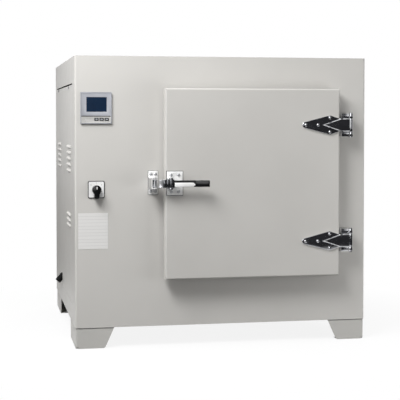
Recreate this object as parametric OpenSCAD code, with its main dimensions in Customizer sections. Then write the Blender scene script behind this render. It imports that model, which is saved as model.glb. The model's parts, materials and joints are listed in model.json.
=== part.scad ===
// Hot air drying oven: a painted sheet-steel cabinet on four sheet feet, with an insulated chamber,
// a side-hung door with strap hinges and a lever latch, and a control and blower compartment on the left.
// Axes: X runs to the right seen from the front, Y runs to the back, Z runs up from the floor.
// Every module works from the cabinet's own datum: X 0 is the cabinet's middle, Y 0 is the front face
// of the front panel, Z 0 is the floor. place() then moves the datum to the middle of the whole outline.

/* [Cabinet] */
// Width of the cabinet
cab_w = 970; // [940:5:1100]
// Depth of the cabinet from the front panel's face to the rear panel's face
cab_d = 900; // [860:5:1100]
// Height of the cabinet without its feet
cab_h = 875; // [840:5:1000]
// Thickness of the cabinet's painted sheet steel
sheet = 1.5; // [1.2:0.1:2.5]
// Outside bend radius of the front panel's upright edges
edge_r = 6; // [3:0.5:12]
// How far the front panel wraps round each side
wrap_d = 94; // [60:1:120]
// Gap between a cover and the sheet that it sits flush in
seam = 1.5; // [1:0.25:3]

/* [Feet] */
// Height of the feet
foot_h = 67; // [50:1:100]
// Width of a foot's front plate at its top
foot_w = 124; // [100:1:150]
// Length of a foot's side plate at its top
foot_side = 220; // [150:5:260]
// How much narrower the front plate is at the floor
foot_taper = 27; // [10:1:40]
// How much shorter the side plate is at the floor
foot_side_taper = 14; // [8:1:40]
// Height of the shadow line under the cabinet's edge
foot_reveal = 2.5; // [1.5:0.25:4]
// Thickness of the feet's sheet steel
foot_sheet = 2.5; // [2:0.5:4]
// How far a foot stands in from the cabinet's faces
foot_inset = 2; // [1:0.5:5]
// Width of the flanges at a foot's top and sole
foot_flange = 28; // [24:1:40]
// Radius of a foot's outer corner at the floor
foot_toe = 8; // [4:1:12]

/* [Chamber] */
// Room between the cabinet's left side and the chamber, for the controls, the blower and the air duct
left_room = 350; // [340:5:400]
// Room between the chamber and the cabinet's right side
right_room = 170; // [150:5:200]
// Room between the chamber and the cabinet's back
back_room = 197; // [150:1:260]
// Clear height of the chamber and its mouth
cham_h = 500; // [440:5:540]
// Chamber's middle, measured up from the cabinet's bottom
cham_rise = 464; // [430:1:480]
// Width of the air duct on the chamber's left
duct_w = 75; // [65:1:85]
// Thickness of the stainless sheet in the chamber
liner_t = 1.5; // [1:0.25:2]
// Thickness of the insulation on the chamber's left
wool_t = 79; // [70:1:90]
// Width of the ledge that a shelf slides on
rail_w = 12; // [10:1:20]
// Height of the lower shelf above the chamber's floor
shelf_low = 160; // [100:5:200]
// Height of the upper shelf above the chamber's floor
shelf_high = 330; // [280:5:380]
// Depth of the turned-down edges of a shelf
shelf_lip = 8; // [6:1:14]
// Space between a shelf's front edge and the shut door's plug
shelf_play = 27; // [20:1:40]

/* [Door] */
// How far the door covers the front panel at each side of the mouth
door_lap_x = 65; // [50:1:70]
// How far the door covers the front panel above and below the mouth
door_lap_z = 57; // [45:1:60]
// Depth of the door's outer skin
door_t = 41; // [35:1:50]
// Gap between the door's rim and the front panel, which the seal fills
door_gap = 14; // [10:1:20]
// Bend radius of the door's front edges
door_r = 5; // [3:0.5:8]
// How far the insulated plug reaches into the mouth
plug_d = 35; // [25:1:50]
// Clearance round the plug, which lets it swing out of the mouth
plug_gap = 10; // [8:1:15]
// Width of the silicone seal
seal_w = 14; // [10:1:18]

/* [Hinges] */
// Hinge axis, measured to the right from the door's right edge
hinge_out = 42; // [40:1:50]
// Hinge axis, measured forwards from the front panel
hinge_fwd = 42; // [38:1:46]
// Height of the lower hinge above the door's bottom edge
hinge_low = 115; // [90:1:160]
// Drop of the upper hinge below the door's top edge
hinge_high = 118; // [90:1:160]
// Radius of the hinge pins
pin_r = 4; // [3:0.25:5]
// Outside radius of the hinge knuckles
knuckle_r = 7; // [6.5:0.25:9]
// Height of the strap's own knuckle
strap_knuckle_h = 42; // [36:1:50]
// Height of each lug of the bracket
lug_h = 16; // [12:1:20]
// Length of the strap on the door, from the door's edge to the tip's middle
strap_len = 118; // [100:1:130]
// Height of the strap at its widest
strap_h = 63; // [56:1:70]
// Thickness of the strap and of its raised rib
strap_t = 4; // [3:0.5:5]
// Radial clearance of everything that turns on a pin or shaft
run_fit = 0.05; // [0.02:0.01:0.08]

/* [Latch] */
// Latch's and keeper's middle, measured up from the door's bottom edge
latch_rise = 310; // [250:1:350]
// Latch pin, measured to the right from the door's left edge
latch_in = 13; // [12:1:16]
// Latch pin, measured forwards from the door's face
latch_fwd = 27; // [26:1:32]
// Height of the lever between the base's two ears
lever_h = 26; // [22:1:30]
// Half of the lever's thickness, and the radius of its nose
lever_r = 8; // [6:0.5:8]
// Distance from the latch pin to the middle of the lever's nose
nose_len = 32; // [30:1:36]
// Distance from the latch pin to the grip's tip
grip_len = 124; // [100:1:150]
// Height of the grip
grip_h = 21; // [18:1:24]
// Size of the latch base's and keeper's flanges, up the door
flange_h = 22; // [18:1:26]
// Width of the latch base
base_w = 51; // [44:1:60]
// Width of the keeper
keeper_w = 31; // [28:1:36]
// Radius of the keeper's roller
roller_r = 8.3; // [7:0.1:10]
// Roller's middle, measured forwards from the front panel
roller_fwd = 66; // [60:1:70]
// Gap between the roller and the lever's nose
roller_gap = 1.2; // [0.5:0.1:2]

/* [Controls] */
// Width of the controller's bezel
bezel_w = 100; // [96:1:110]
// Height of the controller's bezel
bezel_h = 101; // [98:1:120]
// How far the bezel stands out of the front panel
bezel_t = 6; // [5:0.5:8]
// Width and height of the controller's case behind the panel
case_w = 90; // [80:1:92]
// Depth of the controller's case
case_d = 80; // [50:5:100]
// Controls' middle, measured in from the cabinet's left side
controls_in = 68.5; // [66:0.5:80]
// Controller's middle, measured down from the cabinet's top
bezel_drop = 167; // [120:0.5:220]
// Width of the display
screen_w = 65; // [50:1:70]
// Height of the display
screen_h = 47; // [40:1:55]
// Width of a key
key_w = 13; // [10:0.5:14]
// Height of a key
key_h = 9; // [7:0.5:10]
// Distance between two keys
key_pitch = 16.3; // [15.5:0.1:18]
// Travel of a key
key_travel = 1.5; // [1:0.1:2]
// Gap round a key
key_gap = 0.3; // [0.3:0.05:0.5]
// Width of the switch's frame
switch_w = 54; // [50:1:60]
// Height of the switch's frame
switch_h = 55.5; // [54:0.5:66]
// Switch's middle, measured down from the cabinet's top
switch_drop = 428.5; // [380:0.5:450]
// Radius of the knob's head
knob_r = 14.5; // [12:0.5:16]
// Length of the knob's tail from its middle
knob_tail = 29; // [24:1:30]
// Height of the knob above its plate
knob_h = 23; // [18:1:28]
// Radius of the switch's shaft
spindle_r = 4; // [3:0.5:5]
// Width of the blank data label
label_w = 96; // [80:1:110]
// Height of the blank data label
label_h = 116; // [100:1:130]
// Label's middle, measured down from the cabinet's top
label_drop = 562; // [530:1:620]

/* [Left side] */
// Height of the cover's bottom edge above the cabinet's bottom
cover_low = 62; // [50:1:80]
// Drop of the cover's top edge below the cabinet's top
cover_high = 90; // [70:1:110]
// Depth of the dark slot above the cover
cover_slot = 5; // [3:0.5:8]
// Distance from the cover's rear edge to the cabinet's back
cover_rear = 74; // [50:1:100]
// Length of a louvre
louvre_l = 126; // [100:2:140]
// Height of a louvre's opening
louvre_h = 8; // [6:0.5:10]
// How far a louvre stands out
louvre_out = 5; // [3:0.5:7]
// Distance between two louvres
louvre_pitch = 20; // [16:0.5:24]
// Height of the gland's middle above the cover's bottom edge
gland_rise = 28; // [27:1:50]
// Gland's distance behind the front panel
gland_back = 582; // [400:1:620]
// Outside radius of the gland's angled sleeve
gland_r = 10.5; // [9:0.5:12]
// Radius of the hole for the supply cable
gland_bore = 5.5; // [4:0.5:6]
// How far the gland reaches out of the cabinet's side
gland_reach = 25; // [23:1:30]

/* [Air and heat] */
// Radius of the blower's wheel
wheel_r = 88; // [70:1:100]
// Width of the blower's wheel
wheel_w = 38; // [30:1:44]
// Number of blades on the wheel
blades = 10; // [8:1:12]
// Radius of the motor's shaft
shaft_r = 6; // [5:0.5:7]
// Radius of the motor
motor_r = 60; // [50:1:64]
// Length of the motor
motor_len = 118; // [100:1:130]
// Radius of the heater rods
rod_r = 4; // [3:0.5:5]
// Distance between a heater's two legs
rod_pitch = 60; // [50:2:80]
// Distance of each heater from the blower's axis
heater_off = 165; // [150:1:180]
// Outside radius of the exhaust pipe
vent_r = 25; // [22:0.5:30]
// Wall of the exhaust pipe
vent_wall = 2.5; // [2:0.25:3]
// How far the exhaust pipe stands out of the rear panel
vent_out = 45; // [40:1:60]
// Length of the collar that carries the damper's rod
collar_l = 20; // [18:1:24]
// Exhaust pipe's middle, measured down from the chamber's ceiling
vent_drop = 70; // [60:1:120]

/* [Hidden] */
$fn = 48;

// Clearance round fixed rods that pass through sheet and wool
pass_gap = 0.4;
// Gap between parts of different bodies that only lie close together
rest_gap = 0.3;
// Thickness of the hinges', latch's and keeper's mounting plates
plate_t = 3;
// Radius of the round screw heads
head_r = 5.5;
// Height of the round screw heads
head_h = 4;
// Height of the flat screw heads on the cabinet
flat_head_h = 2.5;
// Radius of the screws' shanks
screw_r = 2.5;
// Length of the screws behind the sheet
screw_l = 8;
// Room that the wool leaves behind a sheet for the screws
screw_room = screw_l + 2;

// Cabinet
left_x = -cab_w / 2;
right_x = cab_w / 2;
base_z = foot_h;
top_z = foot_h + cab_h;
inner_left = left_x + sheet;
inner_right = right_x - sheet;
inner_back = cab_d - sheet;

// Chamber
cham_z = base_z + cham_rise;
cham_left = left_x + left_room;
cham_right = right_x - right_room;
cham_x = (cham_left + cham_right) / 2;
cham_low = cham_z - cham_h / 2;
cham_high = cham_z + cham_h / 2;
duct_left = cham_left - duct_w;
liner_front = sheet;
liner_back = cab_d - back_room;
partition_x = duct_left - liner_t - wool_t;

// Door
door_left = cham_left - door_lap_x;
door_right = cham_right + door_lap_x;
door_low = cham_low - door_lap_z;
door_high = cham_high + door_lap_z;
door_back = -door_gap;
door_face = -door_gap - door_t;
skin_t = sheet;
plug_left = cham_left + plug_gap;
plug_right = cham_right - plug_gap;
plug_low = cham_low + plug_gap;
plug_high = cham_high - plug_gap;

// Hinges
axis_x = door_right + hinge_out;
axis_y = -hinge_fwd;
lower_hinge_z = door_low + hinge_low;
upper_hinge_z = door_high - hinge_high;
strap_face = door_face - strap_t;
rib_face = strap_face - strap_t;
lug_gap = 0.5;
lug_start = 6;

// Latch and keeper
latch_z = door_low + latch_rise;
latch_x = door_left + latch_in;
latch_y = door_face - latch_fwd;
ear_t = 3;
ear_r = 9;
latch_pin_r = 4;
nose_x = latch_x - nose_len;
roller_x = nose_x - lever_r - roller_gap - roller_r;
roller_y = -roller_fwd;
roller_pin_r = 3;
keeper_left = roller_x - keeper_w / 2 + 4;
keeper_lug_r = 8;
grip_front = latch_y - 10;
grip_flare = 10;
latch_reach = -(grip_front - grip_flare);

// Controls
controls_x = left_x + controls_in;
bezel_z = top_z - bezel_drop;
screen_up = 11.1;
screen_x = controls_x + 1.5;
screen_z = bezel_z + screen_up;
key_down = 36.5;
key_z = bezel_z - key_down;
key_shift = 17.5;
key_x = controls_x + key_shift;
divider_down = 26.5;
divider_h = 1.2;
lamp_in = 32.5;
lamp_pitch = 8;
lamp_r = 1.6;
key_out = 1.2;
switch_z = top_z - switch_drop;
frame_t = 3;
frame_rim = 2.5;
switch_plate_t = 1;
switch_face = -frame_t - switch_plate_t;
spindle_in = 30;
bush_r = spindle_r + 3.5;
spindle_hole = spindle_r + 2;
label_z = top_z - label_drop;
label_t = 0.5;
label_shift = 10.5;

// Left side
cover_bottom = base_z + cover_low;
cover_top = top_z - cover_high;
cover_front = wrap_d + seam;
cover_back = cab_d - cover_rear;
lip_w = 12;
louvre_front = 74.5;
louvre_rear = 88;
louvre_high = 435;
louvre_low = 250;
slot_end = 3;
gland_z = cover_bottom + gland_rise;
gland_root = 2;
gland_x = left_x - gland_root;
gland_angle = 48;
gland_cavity = gland_bore + 1.5;
gland_len = (gland_reach - gland_root - gland_r * sin(gland_angle)) / cos(gland_angle);

// Blower, heaters and exhaust
fan_y = (liner_front + liner_t + liner_back) / 2;
fan_z = cham_z;
wheel_x = duct_left + 8;
shaft_room = 2;
shaft_hole = shaft_r + shaft_room;
shaft_hole_wide = shaft_r + 2 * shaft_room;
motor_face = partition_x - sheet;
heater_x = duct_left + duct_w / 2 + 6;
heater_in = 110;
heater_front = heater_in;
heater_back = liner_back - heater_in;
vent_z = cham_high - vent_drop;
vent_flange = 16;
vent_flange_t = 2.5;
collar_r = vent_r + 3;
groove_w = 1.5;
damper_y = cab_d + collar_l / 2;
damper_r = vent_r - vent_wall - rest_gap * 2;
damper_rod = 2.5;

module place() {
    translate([
        gland_reach / 2,
        (latch_reach - cab_d - vent_out) / 2,
        0
    ]) children();
}

// Shapes that several parts use

module block(from, to) {
    translate(from) cube(to - from);
}

module rod_x(from, len, r) {
    translate(from) rotate([0, 90, 0]) cylinder(h = len, r = r);
}

module rod_y(from, len, r) {
    translate(from) rotate([-90, 0, 0]) cylinder(h = len, r = r);
}

module rod_z(from, len, r) {
    translate(from) cylinder(h = len, r = r);
}

// Extrudes an outline drawn in X and Z forwards from a rear face
module on_front(rear, thick) {
    translate([0, rear, 0]) rotate([90, 0, 0]) linear_extrude(thick) children();
}

// Extrudes an outline drawn in Y and Z to the right from a start
module along_x(start, len) {
    translate([start, 0, 0]) rotate([90, 0, 90]) linear_extrude(len) children();
}

// Extrudes an outline drawn in X and Y upwards from a start
module upright(start, len) {
    translate([0, 0, start]) linear_extrude(len) children();
}

module round_rect(w, h, r) {
    union() {
        translate([-w / 2 + r, -h / 2]) square([w - 2 * r, h]);
        translate([-w / 2, -h / 2 + r]) square([w, h - 2 * r]);
        for (sx = [-1, 1], sy = [-1, 1]) {
            translate([sx * (w / 2 - r), sy * (h / 2 - r)]) circle(r);
        }
    }
}

// A plan outline whose two front corners are bent: x from a to b, y from front to back
module bent_plan(a, b, front, back, r) {
    union() {
        translate([a, front + r]) square([b - a, back - front - r]);
        translate([a + r, front]) square([b - a - 2 * r, r + 1]);
        translate([a + r, front + r]) circle(r);
        translate([b - r, front + r]) circle(r);
    }
}

// A round-headed screw that points backwards from its head's seat
module screw_back(x, seat, z, shank) {
    translate([x, seat, z]) {
        rotate([90, 0, 0]) difference() {
            cylinder(h = head_h, r1 = head_r, r2 = head_r * 0.75, $fn = 32);
            translate([0, 0, head_h * 0.4]) cylinder(h = head_h, r = head_r * 0.38, $fn = 6);
        }
        rod_y([0, 0, 0], shank, screw_r);
    }
}

// Clearance holes for those screws
module screw_hole(x, z, front, back) {
    rod_y([x, front, z], back - front, screw_r);
}

// Places shared by screws and their holes, measured from the middle of what they hold
bracket_screw_in = 21;
bracket_screw_up = 11;
keeper_screw_out = 7.5;
keeper_screw_up = 1;
base_in = 4;
base_screw_out = 12;
strap_tip_screw = 2;
strap_mid_screw = 0.63;
strap_wide_screw = 34;
strap_edge_screw = 8;
function bracket_screws(z) = [
    for (s = [-1, 1]) [axis_x - bracket_screw_in, z + s * bracket_screw_up]
];
function keeper_screws() = [
    for (sz = [-1, 1], sx = [-1, 1])
        [
            keeper_left + keeper_w / 2 + sx * keeper_screw_out,
            latch_z + sz * (lever_h / 2 + ear_t + flange_h / 2 + keeper_screw_up)
        ]
];
function base_screws() = [
    for (sz = [-1, 1], sx = [-1, 1])
        [
            door_left + base_in + base_w / 2 + sx * base_screw_out,
            latch_z + sz * (lever_h / 2 + ear_t + flange_h / 2)
        ]
];
function strap_screws(z) = [
    [door_right - strap_len + strap_tip_screw, z],
    [door_right - strap_len * strap_mid_screw, z],
    [door_right - strap_wide_screw, z + strap_h / 2 - strap_edge_screw],
    [door_right - strap_wide_screw, z - strap_h / 2 + strap_edge_screw]
];
cover_screw_front = 144.5;
cover_screw_rear = 110;
cover_screw_drop = 6;
cover_screw_y = [cover_front + cover_screw_front, cover_back - cover_screw_rear];
cover_screw_z = cover_top - cover_screw_drop;

// Cabinet sheets

module front_panel() {
    color("#c9c8c4") difference() {
        upright(base_z, cab_h) difference() {
            bent_plan(left_x, right_x, 0, wrap_d, edge_r);
            bent_plan(inner_left, inner_right, sheet, wrap_d + 1, edge_r - sheet);
        }
        block([cham_left, -1, cham_low], [cham_right, sheet + 1, cham_high]);
        block(
            [controls_x - case_w / 2 - pass_gap, -1, bezel_z - case_w / 2 - pass_gap],
            [controls_x + case_w / 2 + pass_gap, sheet + 1, bezel_z + case_w / 2 + pass_gap]
        );
        rod_y([controls_x, -1, switch_z], sheet + 2, bush_r + pass_gap);
        for (z = [lower_hinge_z, upper_hinge_z], p = bracket_screws(z)) screw_hole(p[0], p[1], -1, sheet + 1);
        for (p = keeper_screws()) screw_hole(p[0], p[1], -1, sheet + 1);
    }
}

module left_frame() {
    color("#bdbcba") union() {
        difference() {
            block([left_x, wrap_d, base_z], [inner_left, inner_back, top_z]);
            block(
                [left_x - 1, wrap_d - 1, cover_bottom - seam],
                [inner_left + 1, cover_back + seam, cover_top + cover_slot]
            );
        }
        difference() {
            block(
                [inner_left, wrap_d, cover_bottom - lip_w],
                [inner_left + sheet, cover_back + lip_w, cover_top + lip_w]
            );
            block(
                [inner_left - 1, wrap_d + lip_w, cover_bottom + lip_w],
                [inner_left + sheet + 1, cover_back - lip_w, cover_top - lip_w]
            );
            for (y = cover_screw_y) rod_x([inner_left - 1, y, cover_screw_z], sheet + 2, screw_r);
            block(
                [inner_left - 1, cover_front + slot_end, cover_top],
                [inner_left + sheet + 1, cover_back - slot_end, cover_top + cover_slot]
            );
        }
    }
}

// Extrudes an outline drawn in X and Z backwards from a start
module along_y(start, len) {
    translate([0, start + len, 0]) rotate([90, 0, 0]) linear_extrude(len) children();
}

// The outside of one louvre, pressed out of the cover
module louvre_hood(y, z) {
    along_y(y, louvre_l) polygon([
        [left_x + sheet / 2, z],
        [left_x + sheet / 2, z + louvre_h],
        [left_x, z + louvre_h],
        [left_x - louvre_out, z + 2],
        [left_x - louvre_out, z]
    ]);
}

// The slit through the cover and the hollow of its hood, which opens downwards
module louvre_slit(y, z) {
    blade = 1;
    rise = louvre_h - 1.6 * blade;
    along_y(y + blade, louvre_l - 2 * blade) polygon([
        [inner_left + 1, z],
        [inner_left + 1, z + rise],
        [left_x, z + rise],
        [left_x - louvre_out + blade, z + blade],
        [left_x - louvre_out + blade, z - 1],
        [left_x - 0.3, z - 1],
        [left_x - 0.3, z]
    ]);
}

// Places of the louvres: two columns of five, and three lower in front
function louvre_places() = concat(
    [for (y = [cover_front + louvre_front, cover_back - louvre_rear - louvre_l], i = [0 : 4])
        [y, cover_bottom + louvre_high + i * louvre_pitch]],
    [for (i = [0 : 2]) [cover_front + louvre_front, cover_bottom + louvre_low + i * (louvre_pitch - 2)]]
);

module left_cover() {
    color("#bdbcba") difference() {
        union() {
            block([left_x, cover_front, cover_bottom], [inner_left, cover_back, cover_top]);
            for (p = louvre_places()) louvre_hood(p[0], p[1]);
        }
        for (p = louvre_places()) louvre_slit(p[0], p[1]);
        for (y = cover_screw_y) rod_x([left_x - 1, y, cover_screw_z], sheet + 2, screw_r);
        rod_x([left_x - 1, gland_back, gland_z], sheet + 2, gland_r - 1.5);
    }
}

module right_panel() {
    color("#bdbcba") block([inner_right, wrap_d, base_z], [right_x, inner_back, top_z]);
}

// Slits that let the warm air out of the control compartment
rear_slit_in = 60;
rear_slit_l = 90;
rear_slit_h = 6;
rear_slit_pitch = 16;
rear_slit_rise = 600;
module rear_panel() {
    color("#bdbcba") difference() {
        block([left_x, inner_back, base_z], [right_x, cab_d, top_z]);
        rod_y([cham_x, inner_back - 1, vent_z], sheet + 2, vent_r + pass_gap);
        for (i = [0 : 5]) {
            translate([left_x + rear_slit_in, inner_back - 1, base_z + rear_slit_rise + i * rear_slit_pitch])
                cube([rear_slit_l, sheet + 2, rear_slit_h]);
        }
        for (p = rear_screws()) screw_hole(p[0], p[1], inner_back - 1, cab_d + 1);
    }
}

rear_screw_in = 20;
function rear_screws() = [
    for (sx = [-1, 0, 1], z = [base_z + rear_screw_in, top_z - rear_screw_in])
        [sx * (cab_w / 2 - rear_screw_in), z]
];

module top_panel() {
    color("#cfcecb") upright(top_z - sheet, sheet)
        bent_plan(inner_left, inner_right, sheet, inner_back, edge_r - sheet);
}

module base_pan() {
    color("#a9a8a5") difference() {
        upright(base_z, sheet) bent_plan(inner_left, inner_right, sheet, inner_back, edge_r - sheet);
        for (sx = [-1, 1], sy = [-1, 1], p = foot_bolts()) {
            rod_z([sx * (cab_w / 2 - p[0]), cab_d / 2 + sy * (cab_d / 2 - p[1]), base_z - 1], sheet + 2, screw_r);
        }
    }
}

// Bolt places in a foot, measured in from the cabinet's corner
function foot_bolts() = [
    [foot_inset + foot_w * 0.72, foot_inset + foot_flange * 0.55],
    [foot_inset + foot_flange * 0.55, foot_inset + foot_side * 0.72]
];

// What is cut off a plate's end, so that it leans in and its lower corner is rounded
module foot_end(end, taper) {
    corner = 9;
    polygon([
        [end + 1, foot_h],
        [end, foot_h],
        [end - taper + 2, corner + 3],
        [end - taper - corner * 0.3, corner * 0.3],
        [end - taper - corner, -1],
        [end + 1, -1]
    ]);
}

// What is cut off to round a foot's outer corner at the floor
module foot_corner(start) {
    difference() {
        translate([start - 1, -1]) square(foot_toe + 1);
        translate([start + foot_toe, foot_toe]) circle(foot_toe);
    }
}

// One foot, drawn at the front left corner: a folded corner sheet with a top flange and a sole
module foot_shape() {
    x0 = left_x + foot_inset;
    y0 = foot_inset;
    r = 5;
    difference() {
        union() {
            upright(0, foot_h) difference() {
                union() {
                    translate([x0 + r, y0]) square([foot_w - r, foot_sheet]);
                    translate([x0, y0 + r]) square([foot_sheet, foot_side - r]);
                    translate([x0 + r, y0 + r]) circle(r);
                }
                translate([x0 + r, y0 + r]) circle(r - foot_sheet);
                translate([x0 + r, y0 + foot_sheet]) square([foot_w, foot_side]);
                translate([x0 + foot_sheet, y0 + r]) square([foot_w, foot_side]);
            }
            for (z = [0, foot_h - foot_sheet]) {
                upright(z, foot_sheet) union() {
                    translate([x0 + foot_sheet, y0 + foot_sheet]) square([foot_w - foot_sheet, foot_flange]);
                    translate([x0 + foot_sheet, y0 + foot_sheet]) square([foot_flange, foot_side - foot_sheet]);
                }
            }
        }
        on_front(y0 + foot_flange + foot_sheet + 1, foot_flange + foot_sheet + 2)
            foot_end(x0 + foot_w, foot_taper);
        along_x(x0 - 1, foot_flange + foot_sheet + 2) foot_end(y0 + foot_side, foot_side_taper);
        on_front(y0 + foot_toe, foot_toe + 1) foot_corner(x0);
        along_x(x0 - 1, foot_toe + 1) foot_corner(y0);
        block([x0 - 1, y0 - 1, foot_h - foot_reveal], [x0 + foot_w + 1, y0 + foot_sheet - 1, foot_h + 1]);
        block([x0 - 1, y0 - 1, foot_h - foot_reveal], [x0 + foot_sheet - 1, y0 + foot_side + 1, foot_h + 1]);
        for (p = foot_bolts()) rod_z([left_x + p[0], p[1], foot_h - foot_sheet - 1], foot_sheet + 2, screw_r);
    }
}

module foot_at(right, rear) {
    color("#b0afab")
        translate([0, rear ? cab_d : 0, 0]) mirror([0, rear ? 1 : 0, 0])
            mirror([right ? 1 : 0, 0, 0]) foot_shape();
}

module foot_front_left() { foot_at(false, false); }
module foot_front_right() { foot_at(true, false); }
module foot_rear_left() { foot_at(false, true); }
module foot_rear_right() { foot_at(true, true); }

// Screws of the left cover, the rear panel and the feet
module cabinet_screws() {
    color("#8f8f8f") union() {
        for (y = cover_screw_y) {
            translate([left_x, y, cover_screw_z]) {
                rotate([0, -90, 0]) cylinder(h = flat_head_h, r1 = head_r, r2 = head_r * 0.7);
                rod_x([0, 0, 0], screw_l, screw_r);
            }
        }
        for (p = rear_screws()) {
            translate([p[0], cab_d, p[1]]) {
                rotate([-90, 0, 0]) cylinder(h = flat_head_h, r1 = head_r, r2 = head_r * 0.7);
                rotate([90, 0, 0]) cylinder(h = screw_l, r = screw_r);
            }
        }
        for (sx = [-1, 1], sy = [-1, 1], p = foot_bolts()) {
            translate([sx * (cab_w / 2 - p[0]), cab_d / 2 + sy * (cab_d / 2 - p[1]), 0]) {
                rod_z([0, 0, base_z + sheet - screw_l], screw_l, screw_r);
                translate([0, 0, foot_h - foot_sheet - 5]) cylinder(h = 5, r = 7, $fn = 6);
            }
        }
    }
}

// Chamber

module chamber_liner() {
    color("#b9bbbd") difference() {
        block(
            [duct_left - liner_t, liner_front, cham_low - liner_t],
            [cham_right + liner_t, liner_back + liner_t, cham_high + liner_t]
        );
        block([duct_left, liner_front + liner_t, cham_low], [cham_right, liner_back, cham_high]);
        block([cham_left, liner_front - 1, cham_low], [cham_right, liner_front + liner_t + 1, cham_high]);
        rod_x([duct_left - liner_t - 1, fan_y, fan_z], liner_t + 2, shaft_hole);
        rod_y([cham_x, liner_back - 1, vent_z], liner_t + 2, vent_r + pass_gap);
        for (z = heater_legs()) rod_x([duct_left - liner_t - 1, heater_front, z], liner_t + 2, rod_r + pass_gap);
        rod_x([duct_left - liner_t - 1, probe_y, probe_z], liner_t + 2, probe_r + pass_gap);
    }
}

// Heights of the four heater legs
function heater_legs() = [
    for (s = [-1, 1], t = [-0.5, 0.5]) fan_z + s * heater_off + t * rod_pitch
];

// Holes of the duct panel: rings that the blower draws through, and rows that blow above and below
suction_pitch = 17;
suction_r = 5.5;
outlet_pitch = 38;
outlet_row = 26;
outlet_in = 38;
outlet_end = 45;
outlet_r = 6.5;
outlets = floor((liner_back - liner_front - 2 * outlet_end) / outlet_pitch);
module duct_panel() {
    color("#b4b6b8") difference() {
        block([cham_left - liner_t, liner_front + liner_t, cham_low], [cham_left, liner_back, cham_high]);
        for (ring = [0 : 4], i = [0 : max(0, ring * 6 - 1)]) {
            rod_x(
                [
                    cham_left - liner_t - 1,
                    fan_y + ring * suction_pitch * cos(i * 60 / max(1, ring)),
                    fan_z + ring * suction_pitch * sin(i * 60 / max(1, ring))
                ],
                liner_t + 2, suction_r
            );
        }
        for (side = [-1, 1], row = [0 : 1], i = [0 : outlets - 1]) {
            rod_x(
                [
                    cham_left - liner_t - 1,
                    fan_y + (i - (outlets - 1) / 2) * outlet_pitch,
                    fan_z + side * (cham_h / 2 - outlet_in - row * outlet_row)
                ],
                liner_t + 2, outlet_r
            );
        }
        rod_x([cham_left - liner_t - 1, probe_y, probe_z], liner_t + 2, probe_r + pass_gap);
    }
}

rail_front = plug_d + 15;
rail_back = liner_back - 20;
rail_leg = 14;
module shelf_rails() {
    color("#a9abad") for (z = [shelf_low, shelf_high], side = [0, 1]) {
        wall = side == 0 ? cham_left : cham_right;
        inward = side == 0 ? 1 : -1;
        along_rail(wall, inward, cham_low + z);
    }
}

// An angle whose upright leg lies on the wall and whose ledge carries the shelf
module along_rail(wall, inward, z) {
    along_y(rail_front, rail_back - rail_front) polygon([
        [wall, z - rail_leg],
        [wall, z],
        [wall + inward * rail_w, z],
        [wall + inward * rail_w, z - liner_t],
        [wall + inward * liner_t, z - liner_t],
        [wall + inward * liner_t, z - rail_leg]
    ]);
}

// A perforated shelf with turned-down front and rear edges
shelf_front = plug_d + shelf_play;
shelf_back = liner_back - 40;
shelf_t = 1.5;
shelf_gap = 3;
module shelf(z) {
    x0 = cham_left + shelf_gap;
    x1 = cham_right - shelf_gap;
    slots = 11;
    rows = 8;
    side_rim = 20;
    end_rim = 30;
    web = 5;
    row_web = 8;
    pitch = (x1 - x0 - 2 * side_rim) / slots;
    row_pitch = (shelf_back - shelf_front - 2 * end_rim) / rows;
    color("#c3c5c8") union() {
        difference() {
            block([x0, shelf_front, z], [x1, shelf_back, z + shelf_t]);
            for (i = [0 : slots - 1], j = [0 : rows - 1]) {
                block(
                    [x0 + side_rim + i * pitch + web, shelf_front + end_rim + j * row_pitch + row_web, z - 1],
                    [
                        x0 + side_rim + (i + 1) * pitch - web,
                        shelf_front + end_rim + (j + 1) * row_pitch - row_web,
                        z + shelf_t + 1
                    ]
                );
            }
        }
        for (y = [shelf_front, shelf_back - shelf_t]) {
            block([x0 + rail_w + 2, y, z - shelf_lip], [x1 - rail_w - 2, y + shelf_t, z + 0.1]);
        }
    }
}

module shelf_lower() { shelf(cham_low + shelf_low + rest_gap); }
module shelf_upper() { shelf(cham_low + shelf_high + rest_gap); }

wool_front = sheet + screw_room;
wool_back = cab_d - screw_room;
module cabinet_insulation() {
    wool_left = partition_x;
    wall_left = duct_left - liner_t;
    wall_right = cham_right + liner_t;
    low = cham_low - liner_t;
    high = cham_high + liner_t;
    color("#d8c98e") union() {
        block([wool_left, wool_front, base_z + sheet], [inner_right, wool_back, low]);
        block([wool_left, wool_front, high], [inner_right, wool_back, top_z - sheet]);
        block([wall_right, wool_front, low], [inner_right, wool_back, high]);
        difference() {
            block([wool_left, wool_front, low], [wall_left, wool_back, high]);
            rod_x([wool_left - 1, fan_y, fan_z], wool_t + 2, shaft_hole_wide);
            for (z = heater_legs()) rod_x([wool_left - 1, heater_front, z], wool_t + 2, rod_r + pass_gap);
            rod_x([wool_left - 1, probe_y, probe_z], wool_t + 2, probe_r + pass_gap);
        }
        difference() {
            block([wall_left, liner_back + liner_t, low], [wall_right, wool_back, high]);
            rod_y([cham_x, liner_back, vent_z], wool_back - liner_back + 1, vent_r + pass_gap);
        }
    }
}

// The sheet between the wool and the control compartment
module partition_plate() {
    color("#a7a9ab") difference() {
        block([partition_x - sheet, sheet, base_z + sheet], [partition_x, inner_back, top_z - sheet]);
        rod_x([partition_x - sheet - 1, fan_y, fan_z], sheet + 2, shaft_hole_wide);
        for (z = heater_legs()) rod_x([partition_x - sheet - 1, heater_front, z], sheet + 2, rod_r + pass_gap);
        rod_x([partition_x - sheet - 1, probe_y, probe_z], sheet + 2, probe_r + pass_gap);
    }
}

// Blower

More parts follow.
